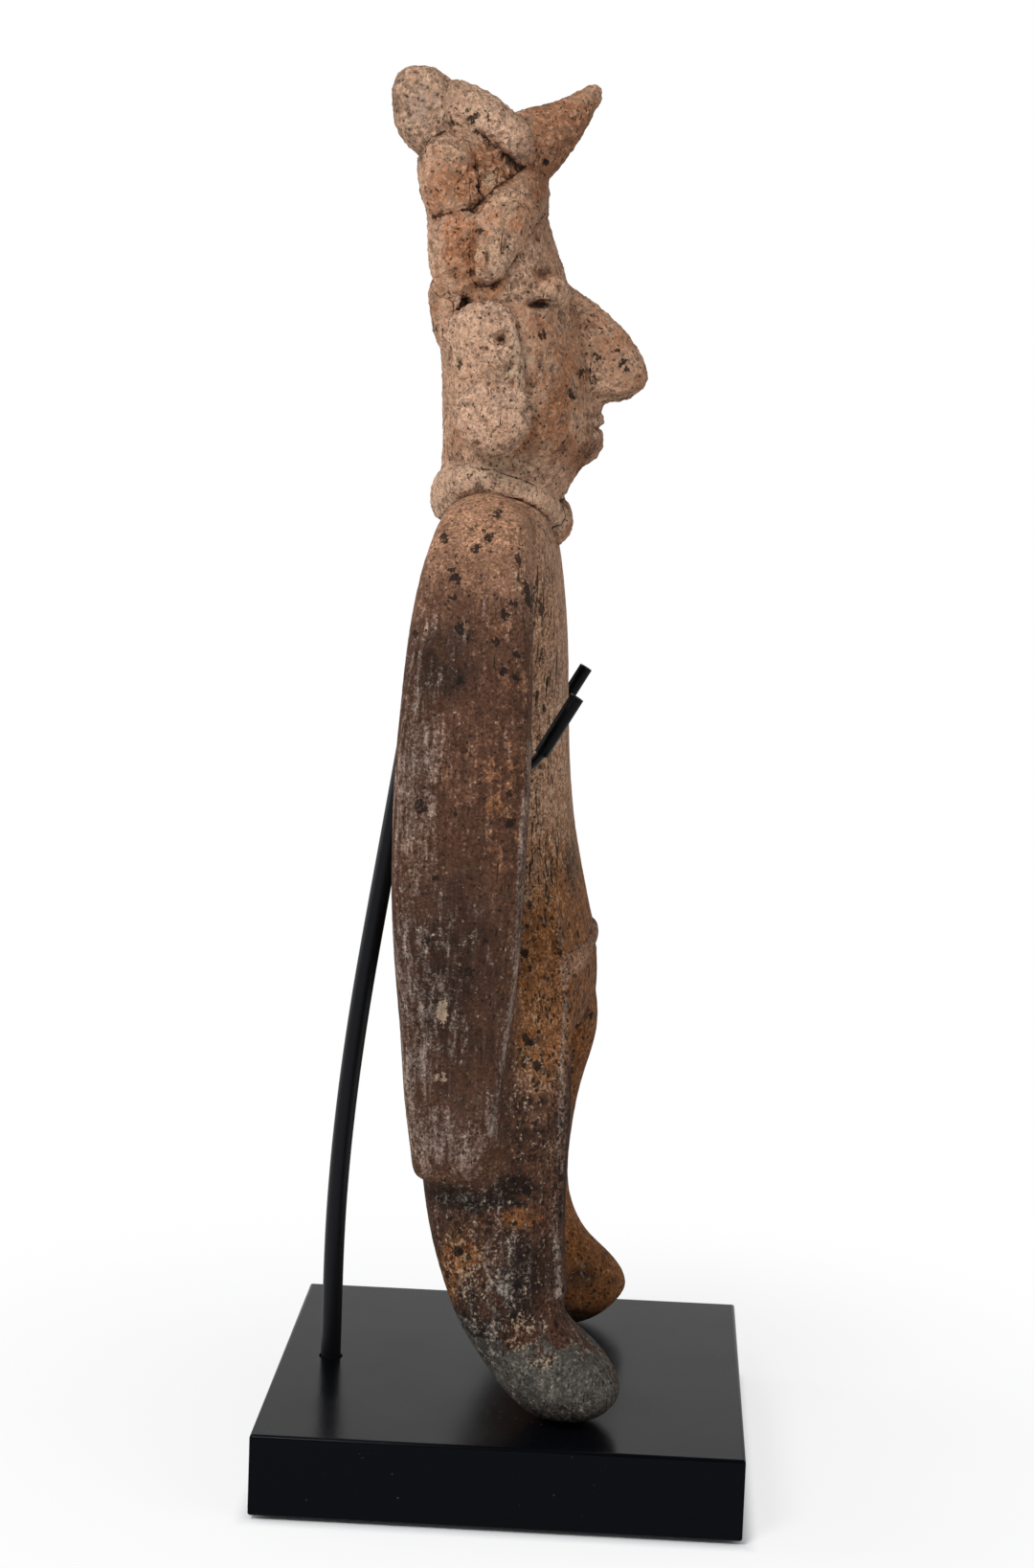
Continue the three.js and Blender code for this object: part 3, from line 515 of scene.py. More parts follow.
def activate(*objs):
    """Leaves these objects as the only ones selected, and the first one active."""
    bpy.ops.object.select_all(action="DESELECT")
    for obj in objs:
        obj.select_set(True)
    bpy.context.view_layer.objects.active = objs[0]


def modified(obj, kind, **chosen):
    """Adds a modifier with these settings and applies it."""
    activate(obj)
    modifier = obj.modifiers.new(kind.title(), kind)
    for key, value in chosen.items():
        setattr(modifier, key, value)
    bpy.ops.object.modifier_apply(modifier=modifier.name)


def linked(name, data):
    """A new object in the scene."""
    obj = bpy.data.objects.new(name, data)
    bpy.context.scene.collection.objects.link(obj)
    return obj


def shaded(obj, angle):
    """Shades an object smooth where its faces meet at less than the angle."""
    activate(obj)
    bpy.ops.object.shade_smooth_by_angle(angle=math.radians(angle))
    return obj


def smooth_copy(node, levels, sharp=None):
    """A copy of a solid, subdivided until it is smooth. Edges sharper than the angle keep their place."""
    obj = linked(f"{node}_form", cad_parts[node].data.copy())
    obj.data.materials.clear()
    activate(obj)
    bpy.ops.object.mode_set(mode="EDIT")
    bpy.ops.mesh.select_mode(type="EDGE")
    bpy.ops.mesh.select_all(action="SELECT")
    bpy.ops.mesh.remove_doubles(threshold=0.002 * MM)
    bpy.ops.mesh.normals_make_consistent(inside=False)
    bpy.ops.mesh.tris_convert_to_quads(face_threshold=math.radians(40), shape_threshold=math.radians(70))
    if sharp:
        bpy.ops.mesh.select_all(action="DESELECT")
        bpy.ops.mesh.edges_select_sharp(sharpness=math.radians(sharp))
        bpy.ops.transform.edge_crease(value=1)
    bpy.ops.object.mode_set(mode="OBJECT")
    if levels:
        modified(obj, "SUBSURF", levels=levels, render_levels=levels)
    return obj


def bevelled(node, name, width):
    """A copy of a solid with rounded edges."""
    obj = smooth_copy(node, levels=0)
    obj.name = name
    modified(obj, "BEVEL", width=width, segments=3, limit_method="ANGLE", angle_limit=math.radians(30))
    modified(obj, "WELD", merge_threshold=0.01 * MM)
    return shaded(obj, 35)


def refill(obj, node):
    """Stretches a copy, which shrank as it was smoothed, to the solid's own box."""
    low, high = (np.array(corner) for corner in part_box(node))
    points = Surface.read(obj.data.vertices, "co", 3, np.float32)
    shrunk = points.min(0), points.max(0)
    points = low + (points - shrunk[0]) * (high - low) / (shrunk[1] - shrunk[0])
    obj.data.vertices.foreach_set("co", points.astype(np.float32).ravel())


def ramp(low, high, values):
    """0 at low, 1 at high, and smooth between them."""
    t = np.clip((values - low) / (high - low), 0, 1)
    return t * t * (3 - 2 * t)


def islands(count, pairs):
    """Which group each item belongs to when these pairs of items hang together."""
    parent = list(range(count))

    def root(i):
        while parent[i] != i:
            parent[i] = parent[parent[i]]
            i = parent[i]
        return i

    for a, b in pairs.tolist():
        parent[root(a)] = root(b)
    return np.array([root(i) for i in range(count)])


class Surface:
    """The vertices of a mesh, in millimetres, while they are pressed, roughened and painted."""

    def __init__(self, obj):
        self.mesh = obj.data
        self.fetch()
        self.edges = self.read(self.mesh.edges, "vertices", 2, np.int32)
        self.paint = {channel: np.zeros(len(self.points)) for channel in CHANNELS}

    @staticmethod
    def read(items, name, width, kind):
        values = np.empty(len(items) * width, kind)
        items.foreach_get(name, values)
        return values.reshape(-1, width).astype(float if kind is np.float32 else int)

    def fetch(self):
        self.points = self.read(self.mesh.vertices, "co", 3, np.float32) / MM

    def normals(self):
        self.write()
        return self.read(self.mesh.vertex_normals, "vector", 3, np.float32)

    def write(self):
        self.mesh.vertices.foreach_set("co", (self.points * MM).astype(np.float32).ravel())
        self.mesh.update()

    def push(self, heights):
        """Moves each vertex out along its normal."""
        self.points += self.normals() * heights[:, None]

    def averaged(self, values, times):
        """Values, each averaged with those next to it, some number of times."""
        a, b = self.edges.T
        count = len(self.points)
        links = np.bincount(a, minlength=count) + np.bincount(b, minlength=count)
        for _ in range(times):
            total = np.bincount(a, values[b], count) + np.bincount(b, values[a], count)
            values = 0.5 * values + 0.5 * total / links
        return values

    def field(self, size, stretch=(1, 1, 1), seed=0.0, octaves=1):
        """Noise from about -1 to 1 with lumps of this size, stretched along the axes."""
        scaled = (self.points / (size * np.array(stretch)) + seed).tolist()
        if octaves == 1:
            return np.array([noise.noise(p) for p in scaled])
        return np.array([noise.fractal(p, 0.7, 2.1, octaves) for p in scaled])

    def on_side(self, side):
        """1 on that side of the figure, and 0 on the other."""
        return np.ones(len(self.points)) if side == BOTH else ramp(-4, 10, side * self.points[:, 0])

    def patch(self, side, place, half, turn=0.0, soft=1.0):
        """1 in the middle of an oval patch on a side, and 0 outside it."""
        dy, dz = self.points[:, 1] - place[0], self.points[:, 2] - place[1]
        c, s = math.cos(math.radians(turn)), math.sin(math.radians(turn))
        distance = np.hypot((c * dy + s * dz) / half[0], (c * dz - s * dy) / half[1])
        return ramp(1, 1 - soft, distance) * self.on_side(side)

    def along(self, path):
        """Distance from a run of points (y, z), seen from the side."""
        best = np.full(len(self.points), np.inf)
        here = self.points[:, 1:]
        for start, end in zip(path, path[1:]):
            start, step = np.array(start), np.subtract(end, start)
            t = np.clip((here - start) @ step / (step @ step), 0, 1)
            best = np.minimum(best, np.linalg.norm(here - start - t[:, None] * step, axis=1))
        return best

    def ridge(self, side, out, half, path):
        """1 along the edge that a tool left from this far out, and 0 past its half width."""
        reach = ramp(out - 6, out, np.abs(self.points[:, 0])) * self.on_side(side)
        return ramp(half, 0, self.along(path)) * reach

    def hollow(self, times):
        """How far each vertex lies under the average of those round it."""
        averages = np.stack([self.averaged(row, times) for row in self.points.T], 1)
        return ((averages - self.points) * self.normals()).sum(1)

    def paint_hollows(self):
        """Paints how deep each vertex lies in a crease, which the materials darken as painted shade, and how
        far it stands out among what is round it, which they make paler, partly wear and partly painted
        highlight, and darker in broad hollows as painted shade.
        """
        for channel, times, depth in (("crease_shade", 4, 0.25), ("worn", 30, -0.8)):
            self.paint[channel] = np.clip(self.hollow(times) / depth, -1, 1.5)

    def paint_patches(self, patches):
        for (channel, side), places in patches.items():
            for y, z, wide, tall, strength, *turn in places:
                self.paint[channel] += strength * self.patch(side, (y, z), (wide, tall), *turn)

    def paint_spots(self, places, shift):
        """Paints spots on the right, and every second one again on the left, moved by the shift."""
        moved = [(y + shift[0], z + shift[1], radius) for y, z, radius in places[::2]]
        for side, spots in ((RIGHT, places), (LEFT, moved)):
            for y, z, radius in spots:
                self.cover("spot", self.patch(side, (y, z), (1.25 * radius, 1.5 * radius)))

    def cover(self, channel, values):
        """Raises a channel to these values where it is lower."""
        self.paint[channel] = np.maximum(self.paint[channel], values)


class Fusion:
    """Pieces of clay grown together into one mesh, which can be parted again."""

    def __init__(self, name, nodes, creased, mesh_size, closing):
        forms = {node: smooth_copy(node, levels=2, sharp=50 if node in creased else None) for node in nodes}
        self.nodes = nodes
        self.trees = {}
        for node, form in forms.items():
            refill(form, node)
            modified(form, "DISPLACE", strength=settings("clay").growth + closing, mid_level=0)
            corners = [v.co / MM for v in form.data.vertices]
            tree = BVHTree.FromPolygons(corners, [list(p.vertices) for p in form.data.polygons])
            self.trees[node] = tree, np.min(corners, 0), np.max(corners, 0)
        activate(*forms.values())
        bpy.ops.object.join()
        self.obj = forms[nodes[0]]
        self.obj.name = name
        modified(self.obj, "REMESH", mode="VOXEL", voxel_size=mesh_size)
        self.drop_inner_shells()
        modified(self.obj, "SMOOTH", factor=0.5, iterations=3)
        self.surface = Surface(self.obj)
        self.distances = self.measure()
        self.surface.push(np.full(len(self.surface.points), -closing / MM))

    def drop_inner_shells(self):
        """Keeps the largest connected shell."""
        data = self.obj.data
        shell = islands(len(data.vertices), Surface.read(data.edges, "vertices", 2, np.int32))
        kept = np.bincount(shell).argmax()
        mesh = bmesh.new()
        mesh.from_mesh(data)
        bmesh.ops.delete(mesh, geom=[v for v in mesh.verts if shell[v.index] != kept], context="VERTS")
        mesh.to_mesh(data)
        mesh.free()

    def measure(self, reach=8.0):
        """Distance of each vertex from each node's form, up to the reach."""
        points = self.surface.points
        rows = []
        for node in self.nodes:
            tree, low, high = self.trees[node]
            row = np.full(len(points), reach)
            near = np.flatnonzero(((points > low - reach) & (points < high + reach)).all(1))
            found = [tree.find_nearest(p, reach)[3] for p in points[near].tolist()]
            row[near] = [reach if d is None else d for d in found]
            rows.append(row)
        return np.array(rows)

    def distance(self, *nodes):
        """Distance of each vertex from the nearest of these nodes' forms."""
        return self.distances[[self.nodes.index(node) for node in nodes]].min(0)

    def skin(self, node):
        """1 on a node's own form, and 0 further off."""
        return ramp(1.0, 0.2, self.distance(node))

    def smooth_seams(self, pairs, width, times, zone=1, steps=20):
        """Smooths the mesh where two forms meet, by a weight that changes in steps."""
        weight = np.zeros(len(self.surface.points))
        for first, second in pairs:
            apart = np.maximum(self.distance(first), self.distance(second))
            weight = np.maximum(weight, 1 - ramp(0.3 * width, width, apart))
        self.surface.write()
        group = self.obj.vertex_groups.new(name="seam")
        levels = np.round(weight * zone * steps).astype(int)
        for level in range(1, steps + 1):
            group.add(np.flatnonzero(levels == level).tolist(), level / steps, "REPLACE")
        modified(self.obj, "SMOOTH", factor=0.5, iterations=times, vertex_group="seam")
        self.obj.vertex_groups.clear()
        self.surface.fetch()

    def crevice(self, first, second, half, reach):
        """1 along the line where two forms meet, and 0 further off."""
        a, b = self.distance(first), self.distance(second)
        return ramp(half, 0.3 * half, np.abs(a - b)) * ramp(reach, 0.4 * reach, np.maximum(a, b))

    def other_distance(self, i):
        """How much further each vertex lies from its nearest other node than from this one."""
        return np.delete(self.distances, i, 0).min(0) - self.distances[i]

    def faces(self):
        polygons = self.obj.data.polygons
        if any(p.loop_total != 4 for p in polygons):
            raise RuntimeError("the fused clay is expected to be all quads")
        return Surface.read(polygons, "vertices", 4, np.int32)

    def labels(self, faces, rounds=12, stray_share=0.05):
        """Which node each face belongs to. Patches far below a node's biggest go to what lies round them."""
        smoothed = np.array([self.surface.averaged(row, 3) for row in self.distances])
        label = smoothed[:, faces].mean(2).argmin(0)
        sides = np.sort(np.concatenate([faces[:, [i, (i + 1) % 4]] for i in range(4)]), 1)
        owner = np.tile(np.arange(len(faces)), 4)
        order = np.lexsort((sides[:, 1], sides[:, 0]))
        sides, owner = sides[order], owner[order]
        same = np.flatnonzero((sides[1:] == sides[:-1]).all(1))
        pairs = np.stack([owner[same], owner[same + 1]], 1)
        for _ in range(rounds):
            inside = label[pairs[:, 0]] == label[pairs[:, 1]]
            island = islands(len(faces), pairs[inside])
            size = np.bincount(island, minlength=len(faces))
            biggest = np.zeros(len(self.nodes), int)
            np.maximum.at(biggest, label, size[island])
            stray = size[island] < stray_share * biggest[label]
            if not stray.any():
                break
            for a, b in np.concatenate([pairs, pairs[:, ::-1]]).tolist():
                if stray[a] and not stray[b]:
                    label[a] = label[b]
                    stray[a] = False
        return label

    def part(self):
        """Parts the mesh into one closed piece for each node, and yields them."""
        surface = self.surface
        surface.write()
        faces = self.faces()
        label = self.labels(faces)
        for i, node in enumerate(self.nodes):
            own = faces[label == i]
            if not len(own):
                raise RuntimeError(f"no part of the fused clay belongs to {node}")
            used, renumbered = np.unique(own, return_inverse=True)
            quads = renumbered.reshape(-1, 4)
            middles, fans = rim_fans(surface.points[used], quads)
            data = bpy.data.meshes.new(f"{node}_clay")
            corners = np.concatenate([surface.points[used], middles]) * MM
            data.from_pydata(corners.tolist(), [], quads.tolist() + fans)
            surface.paint["seam"] = self.other_distance(i)
            for channel in CHANNELS:
                layer = data.attributes.new(channel, "FLOAT", "POINT")
                values = np.append(surface.paint[channel][used], np.zeros(len(middles)))
                layer.data.foreach_set("value", values.astype(np.float32))
            sharpen_rims(data)
            yield node, linked(f"{node}_clay", data)
        bpy.data.objects.remove(self.obj)


def rim_fans(points, quads):
    """Closes each rim of a parted mesh by a fan of triangles: the middles of the fans, and their corners."""
    sides = [tuple(side) for i in range(4) for side in quads[:, [i, (i + 1) % 4]].tolist()]
    ahead = {}
    for a, b in (Counter(sides) - Counter((b, a) for a, b in sides)).elements():
        ahead.setdefault(a, []).append(b)
    middles, fans = [], []
    while ahead:
        rim = [next(iter(ahead))]
        while rim[-1] in ahead:
            following = ahead[rim[-1]].pop()
            if not ahead[rim[-1]]:
                del ahead[rim[-1]]
            if following not in rim:
                rim.append(following)
                continue
            loop = rim[rim.index(following):]
            rim = rim[:rim.index(following) + 1]
            middle = len(points) + len(middles)
            middles.append(points[loop].mean(0))
            fans += [(b, a, middle) for a, b in zip(loop, loop[1:] + loop[:1])]
    return np.array(middles).reshape(-1, 3), fans


def sharpen_rims(data):
    """Smooths a mesh, with a sharp edge where the fans start."""
    mesh = bmesh.new()
    mesh.from_mesh(data)
    for face in mesh.faces:
        face.smooth = True
    for edge in mesh.edges:
        edge.smooth = len({len(face.verts) for face in edge.link_faces}) == 1
    mesh.to_mesh(data)
    mesh.free()


def placed(obj, body, slot, material, node):
    """Gives a piece its material, ties it to its body and hides its solid. The slot is not used."""
    obj.data.materials.append(material)
    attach(obj, body)
    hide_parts(node)


# Operators


class FIGURE_OT_body(bpy.types.Operator):
    """Models and paints the torso, arms, legs and belt"""

    bl_idname = "figure.body"
    bl_label = "Clay body"

    def execute(self, context):
        clay = settings("clay")
        fusion = Fusion("fused_body", BODY_NODES, BODY_NODES, clay.body_mesh, 0)
        surface = fusion.surface
        z = surface.points[:, 2]
        shoulders, hips = ([("torso", limb) for limb in both_sides(name)] for name in ("arm", "leg"))
        hands = [(f"{side}_leg", f"{side}_arm") for side in SIDES]
        clear = ramp(2, 6, fusion.distance(*both_sides("arm")))
        fusion.smooth_seams(shoulders, 9, 130, ramp(166, 192, z))
        belt = ramp(1, 4, fusion.distance("belt") + ramp(-12, -6, surface.points[:, 1]) * 8)
        fusion.smooth_seams(hips, 14, 160, clear * belt)
        fusion.smooth_seams(hands, 7, 110, ramp(98, 78, z))
        low = ramp(140, 120, z) * ramp(14, 4, surface.points[:, 1])
        fusion.smooth_seams(hands + shoulders, 9, 120, low)
        for node in ("torso", *both_sides("leg")):
            edge = fusion.crevice(node, "belt", 1.0, 2.4) * ramp(*BELT_FRONT, surface.points[:, 1])
            surface.push(-0.35 * edge)
            surface.cover("open", 0.16 * edge)
        self.shape(surface, clay)
        self.colour(fusion)
        finishes = {slot: clay_material(slot, gritty=False) for slot in ("burnished_clay", "smoked_clay")}
        for node, obj in fusion.part():
            slot = "smoked_clay" if node.endswith("_leg") else "burnished_clay"
            placed(obj, "figure", slot, finishes[slot], node)
        return {"FINISHED"}

    @staticmethod
    def shape(surface, clay):
        lumps, pits = clay.lumps / MM, clay.pits / MM
        x, y, z = surface.points.T
        left_hand = ramp(74, 94, z) * ramp(118, 98, z) * ramp(8, 20, x)
        y -= 0.6 * left_hand * ramp(0, -10, y)
        surface.push(lumps * surface.field(16, (1, 1, 3), 3.1) + 0.4 * lumps * surface.field(5, (1, 1, 4), 7.7))
        for side, out, half, height, path in BODY_RIDGES:
            surface.push(height * surface.ridge(side, out, half, path))
        for side, place, half, turn, depth in BODY_MARKS:
            surface.push(-depth * surface.patch(side, place, half, turn))
        hole = np.maximum(0, surface.field(2.6, (1, 1, 1.6), 5.0) - 0.48)
        surface.push(0.05 * surface.field(1.6, octaves=3) - 1.2 * pits * hole)
        z[:] = np.maximum(z, BASE_TOP + 0.1)

    @staticmethod
    def colour(fusion):
        surface, paint = fusion.surface, fusion.surface.paint
        x, y, z = surface.points.T
        right, left = surface.on_side(RIGHT), surface.on_side(LEFT)
        drift = 8 * surface.field(18, seed=2.0)
        arms = fusion.distance(*both_sides("arm"))
        inner = ramp(0.8, 2.5 + 9 * ramp(150, 190, z), arms) * ramp(118, 150, z)
        paint["rough"] = ramp(0.5, 4, arms) * ramp(160, 110, z) * (1 - 0.6 * left * ramp(60, 40, z))
        paint["burnish"] = 1.3 - 1.2 * ramp(172, 226, z + drift) - 1.1 * inner
        paint["crust"] = 0.75 * inner + 0.12 * ramp(90, 70, z) * right
        paint["vein"] = (0.15 + 0.35 * ramp(16, 32, np.abs(x))) * inner
        paint["flush"] = 0.7 * ramp(10, -6, y) * ramp(176, 120, z) * ramp(0.5, 3, arms)
        paint["flush"] *= 1 - 0.85 * right * ramp(112, 84, z)
        paint["soot_and_shade"] = 0.22 * ramp(82, 70, z) * right + 0.06 * paint["rough"]
        paint["soot_and_shade"] += 0.2 * ramp(0.1, 0.6, surface.field(24, (1, 1, 2), 9.0))
        surface.paint_patches(BODY_PATCHES)
        # Painted shade on the inner sides of the legs, between them
        paint["soot_and_shade"] += 0.8 * ramp(16, 5, np.abs(x)) * ramp(98, 84, z)
        strip = fusion.skin("belt") * ramp(*BELT_FRONT, y)
        paint["burnish"] -= 0.9 * strip + 1.1 * surface.patch(RIGHT, (-6, 108), (11, 34))
        paint["flush"] *= 1 - 0.75 * strip
        paint["crust"] += 0.3 * strip
        # Painted shade just past the near leg's front edge, where its surface turns away from the light
        edge_y, edge_z = np.transpose(LEG_EDGE[::-1])
        ahead = np.interp(z, edge_z, edge_y) - y
        near = ramp(0, -8, x) * ramp(44, 52, z) * ramp(136, 124, z)
        paint["soot_and_shade"] += 0.6 * near * ramp(0.8, 2.2, ahead) * ramp(110, 96, z)
        # Painted highlight along the ridges that the tool left
        for side, out, half, _, path in BODY_RIDGES:
            paint["haze_and_sheen"] += surface.ridge(side, out, 0.6 * half, path)
        surface.paint_spots(BODY_SPOTS, (1.5, -7))
        for *place, wide, tall, turn in BODY_STREAKS:
            surface.cover("spot", surface.patch(RIGHT, place, (wide, tall), turn))
        surface.paint_hollows()


class FIGURE_OT_head(bpy.types.Operator):
    """Models and paints the head, the face, the headdress and the necklace"""

    bl_idname = "figure.head"
    bl_label = "Clay head"

    def execute(self, context):
        clay = settings("clay")
        fusion = Fusion("fused_head", HEAD_NODES, HEAD_BLENDED, clay.head_mesh, clay.closing)
        face = [node for node in HEAD_BLENDED if "ear" not in node]
        ears = [node for node in HEAD_BLENDED if "ear" in node]
        for nodes, width, times in ((face, 3.5, 24), (ears, 2.0, 6), (["necklace"], 2.2, 8)):
            fusion.smooth_seams([("head", node) for node in nodes], width, times)
        fusion.smooth_seams(self.both("horn", "top_roll"), 6, 60)
        fusion.smooth_seams(self.both("crest_roll", "top_roll"), 3, 16)
        crevices = [pair for first, second, _ in CREVICES for pair in self.both(first, second)]
        fusion.smooth_seams(crevices, 2.2, 7)
        tails = [pair for other in ("ear", "lower_lock", "head") for pair in self.both("hair_tail", other)]
        fusion.smooth_seams(tails, 2.5, 8)
        fusion.smooth_seams(self.both("lower_lock", "headband"), 2.5, 12)
        self.carve(fusion)
        self.press_seams(fusion, clay)
        self.shape(fusion.surface, clay)
        self.colour(fusion)
        gritty = clay_material("gritty_clay", gritty=True)
        for node, obj in fusion.part():
            placed(obj, "figure", "gritty_clay", gritty, node)
        return {"FINISHED"}

    @staticmethod
    def carve(fusion):
        """Fills deep notches, leans the crest, raises the ears and flattens what was patted flat."""
        surface = fusion.surface
        x, y, z = surface.points.T
        zone = np.maximum(ramp(2, 6, y), ramp(268, 274, z))
        for _ in range(10):
            surface.push(zone * np.clip(surface.hollow(12) - 0.2, 0, 0.6))
        for node in HEAD_NODES:
            for name, flat in (("lock", 1.8), ("crest", 2.2), ("_ear", 1.2)):
                if name in node:
                    start = max(abs(corner.x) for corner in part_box(node)) / MM - flat
                    own = ramp(1.2, 0.3, fusion.distance(node))
                    x -= np.sign(x) * 0.65 * own * np.maximum(0, np.abs(x) - start)
        y += ramp(2.5, 0.3, fusion.distance("crest_roll")) * np.clip(0.15 * (z - 302), -2.6, 0.4)
        for name, height in (("ear", 1.3), ("ear_ornament", 1.9), ("hair_tail", 1.1)):
            for node in both_sides(name):
                own = fusion.distance("head") - fusion.distance(node)
                surface.push(height * ramp(0.0, 1.2, own) * fusion.skin(node))

    @staticmethod
    def both(first, second):
        """The pairs of nodes that two names stand for."""
        def own(name, side):
            return f"{side}_{name}" if f"{side}_{name}" in HEAD_NODES else name

        return sorted({(own(first, side), own(second, side)) for side in SIDES})

    def press_seams(self, fusion, clay):
        """Opens a dark crevice round each piece that was pressed on and left plain."""
        surface = fusion.surface
        uneven = surface.field(5, seed=12.0, octaves=2)
        for first, second, share in CREVICES:
            for a, b in self.both(first, second):
                depth = clay.crevice / MM * share * np.clip(0.8 + uneven, 0.15, 1.3)
                surface.push(-depth * fusion.crevice(a, b, 1.0, 2.4))
                opening = share * np.clip(0.7 + 1.2 * uneven, 0, 1.2) * fusion.crevice(a, b, 1.6, 3.0)
                surface.cover("open", opening)

    @staticmethod
    def shape(surface, clay):
        lumps, grit, pits = clay.lumps / MM, clay.grit / MM, clay.pits / MM
        surface.push(1.3 * lumps * surface.field(11, seed=4.0) + 0.7 * lumps * surface.field(4.5, seed=1.5))
        for side, place, half, turn, depth in HEAD_MARKS:
            # Only the marks at the front of the face reach its middle
            reached = (np.abs(surface.points[:, 0]) > 7) | (place[0] < -9)
            surface.push(-depth * surface.patch(side, place, half, turn) * reached)
        recess = surface.patch(RIGHT, (14, 287.5), (7, 8.5), 0, 0.5)
        surface.push(recess * (0.7 * surface.field(2.2, octaves=3, seed=8.0) - 0.3))
        hole = np.maximum(0, surface.field(2.4, seed=6.0) - 0.42)
        hole += 0.7 * np.maximum(0, surface.field(1.5, seed=2.0) - 0.5)
        surface.push(grit * surface.field(1.5, octaves=3, seed=5.0) - 2.2 * pits * hole)

    @staticmethod
    def colour(fusion):
        surface, paint = fusion.surface, fusion.surface.paint
        paint["flush"] = 0.12 + 0.5 * surface.field(10, seed=3.0)
        paint["crust"] = 0.18 + 0.25 * surface.field(9, seed=6.0)
        surface.paint_patches(HEAD_PATCHES)
        paint["crust"] += 0.3 * fusion.skin("necklace")
        surface.paint_spots(HEAD_SPOTS, (-1.0, 3))
        surface.paint_hollows()
        # Makes these pieces paler all over, through the same channel as the painted highlight on raised clay
        for node in HEAD_NODES:
            for name, pale in (("necklace", 0.9), ("_ear", 0.35), ("top_roll", 0.5), ("crest", 0.35)):
                if name in node:
                    paint["worn"] += pale * fusion.skin(node)


class FIGURE_OT_base(bpy.types.Operator):
    """Rounds the edges of the painted base"""

    bl_idname = "figure.base"
    bl_label = "Base block"

    def execute(self, context):
        stand = settings("stand")
        obj = bevelled("base_block", "base_block_painted", stand.edge)
        for face in obj.data.polygons:
            face.use_smooth = max(abs(c) for c in face.normal) < 0.9999
        paint = painted_material("black_paint", stand.paint, rough=0.22, dust=0.3, grain=0.012, shine=0.045,
                                 crumbs=(-33, -6, BASE_TOP))
        placed(obj, "stand_base", "black_paint", paint, "base_block")
        return {"FINISHED"}


class FIGURE_OT_felt(bpy.types.Operator):
    """Softens the felt under the base"""

    bl_idname = "figure.felt"
    bl_label = "Felt pad"

    def execute(self, context):
        obj = bevelled("felt_pad", "felt_pad_fibre", 0.3 * MM)
        felt = felt_material("black_felt", settings("stand").felt)
        placed(obj, "stand_base", "black_felt", felt, "felt_pad")
        return {"FINISHED"}


class FIGURE_OT_armature(bpy.types.Operator):
    """Rounds the rod, the wire cradle and the sleeves of its prongs"""

    bl_idname = "figure.armature"
    bl_label = "Rod, cradle and sleeves"

    def execute(self, context):
        stand = settings("stand")
        steel = painted_material("black_steel", stand.steel, rough=0.42, dust=0.1, grain=0.02, shine=0.18)
        tubing = painted_material("black_tubing", stand.tubing, rough=0.42, dust=0.1, grain=0.03, shine=0.1)
        finishes = {
            "upright_rod": ("black_steel", steel),
            "cradle_wire": ("black_steel", steel),
            "left_prong_sleeve": ("black_tubing", tubing),
            "right_prong_sleeve": ("black_tubing", tubing),
        }
        for node, (slot, material) in finishes.items():
            obj = shaded(smooth_copy(node, levels=2, sharp=50), 40)
            obj.name = f"{node}_round"
            placed(obj, "armature", slot, material, node)
        return {"FINISHED"}


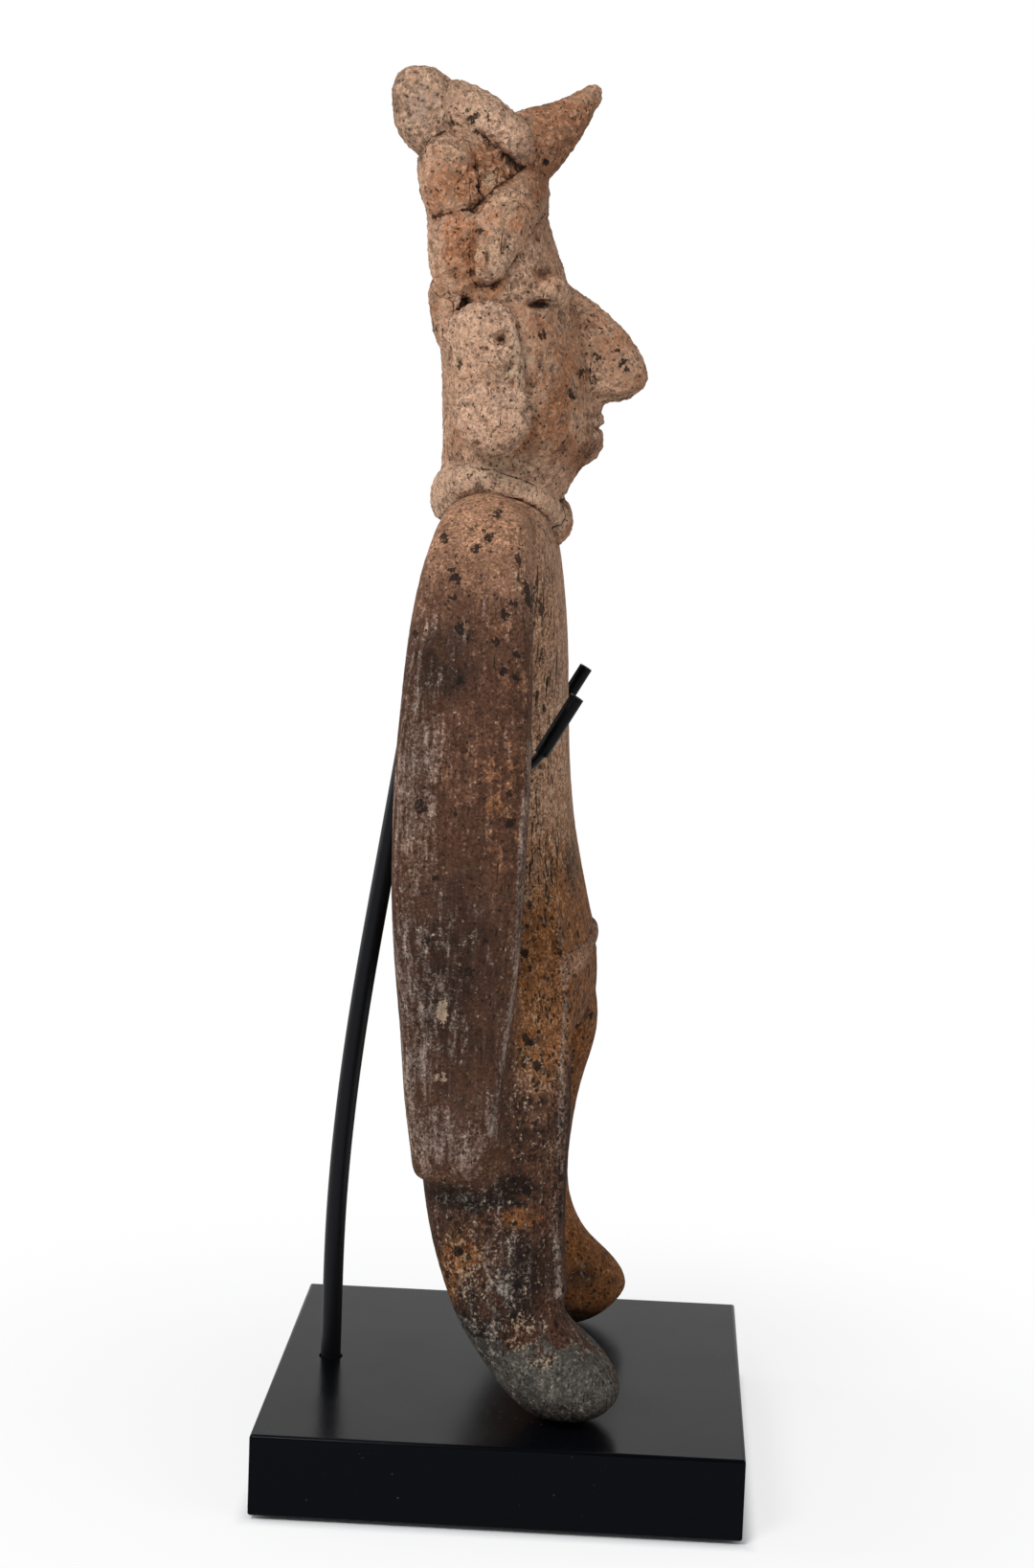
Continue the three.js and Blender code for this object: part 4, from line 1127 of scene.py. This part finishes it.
class FIGURE_OT_stage(bpy.types.Operator):
    """Sets up the camera, the floor and the light"""

    bl_idname = "figure.stage"
    bl_label = "Stage"

    def execute(self, context):
        stage = settings("stage")
        self.camera(stage)
        self.floor(stage)
        self.world(stage)
        for lamp in LAMPS:
            self.lamp(*lamp)
        context.scene.view_settings.view_transform = "Standard"
        return {"FINISHED"}

    @staticmethod
    def camera(stage):
        data = bpy.data.cameras.new("camera")
        data.sensor_width = 36
        data.lens = stage.lens
        data.clip_start = 0.01
        camera = linked("camera", data)
        turn = Matrix(CAMERA_AXES).transposed()
        camera.matrix_world = Matrix.Translation(stage.camera_place) @ turn.to_4x4()
        bpy.context.scene.camera = camera

    @staticmethod
    def floor(stage):
        bpy.ops.mesh.primitive_plane_add(size=12)
        floor = bpy.context.object
        floor.name = "floor"
        s = new_material("pale_floor")
        away = s.vector("LENGTH", s.place, output="Value")
        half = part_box("base_block")[1] / MM
        apart = s.vector("SUBTRACT", s.vector("ABSOLUTE", s.place), (half.x, half.y, 0))
        across = [s.node("ShaderNodeSeparateXYZ", {}, {0: apart}, axis) for axis in "XY"]
        clear = s.step(s.math("MAXIMUM", *across), -1, 4)
        matt = s.node("ShaderNodeBsdfDiffuse", {}, {"Color": (*stage.floor, 1)})
        white = s.node("ShaderNodeEmission", {}, {"Color": WHITE, "Strength": 1.0})
        mixed = s.node("ShaderNodeMixShader", {}, {
            0: s.seen() * clear * (0.74 + 0.26 * s.step(away, 60, 220)), 1: matt, 2: white})
        s.node("ShaderNodeOutputMaterial", {}, {"Surface": mixed})
        floor.data.materials.append(s.owner)

    @staticmethod
    def world(stage):
        """White all round for the camera, and a white wall behind the figure in a dim room for mirrors."""
        world = bpy.data.worlds.new("studio")
        bpy.context.scene.world = world
        s = Shader(world, "Generated")
        ahead = s.node("ShaderNodeSeparateXYZ", {}, {0: s.place})
        wall = s.step(ahead * MM, -0.3, 0.4)
        camera = s.node("ShaderNodeLightPath", output="Is Camera Ray")
        shown = s.math("MAXIMUM", camera, 0.02 + 0.98 * wall)
        room = s.node("ShaderNodeBackground", {}, {"Color": WHITE, "Strength": stage.daylight})
        white = s.node("ShaderNodeBackground", {}, {"Color": WHITE, "Strength": shown})
        mixed = s.node("ShaderNodeMixShader", {}, {0: s.seen(), 1: room, 2: white})
        s.node("ShaderNodeOutputWorld", {}, {"Surface": mixed})

    @staticmethod
    def lamp(name, place, target, size, power):
        data = bpy.data.lights.new(name, "AREA")
        data.shape = "DISK"
        data.size = size
        data.energy = power
        lamp = linked(name, data)
        lamp.location = place
        lamp.rotation_euler = (Vector(target) - Vector(place)).to_track_quat("-Z", "Y").to_euler()


class FIGURE_PT_panel(bpy.types.Panel):
    """Lists the steps that dress the figure and its stand"""

    bl_idname = "FIGURE_PT_panel"
    bl_label = "Clay figure"
    bl_space_type = "VIEW_3D"
    bl_region_type = "UI"
    bl_category = "Clay figure"

    def draw(self, context):
        for operator in OPERATORS:
            self.layout.operator(operator.bl_idname)
        for name in SETTINGS:
            group = settings(name)
            for key in group.__annotations__:
                self.layout.prop(group, key)


SETTINGS = {"clay": ClaySettings, "stand": StandSettings, "stage": StageSettings}
OPERATORS = (FIGURE_OT_body, FIGURE_OT_head, FIGURE_OT_base, FIGURE_OT_felt, FIGURE_OT_armature,
             FIGURE_OT_stage)
CLASSES = (*SETTINGS.values(), *OPERATORS, FIGURE_PT_panel)


def register():
    for cls in CLASSES:
        bpy.utils.register_class(cls)
    for name, group in SETTINGS.items():
        setattr(bpy.types.Scene, f"figure_{name}", bpy.props.PointerProperty(type=group))


def unregister():
    for name in SETTINGS:
        delattr(bpy.types.Scene, f"figure_{name}")
    for cls in reversed(CLASSES):
        bpy.utils.unregister_class(cls)


def main():
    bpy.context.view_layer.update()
    register()
    bpy.ops.figure.body()
    bpy.ops.figure.head()
    bpy.ops.figure.base()
    bpy.ops.figure.felt()
    bpy.ops.figure.armature()
    bpy.ops.figure.stage()


if __name__ == "__main__":
    main()
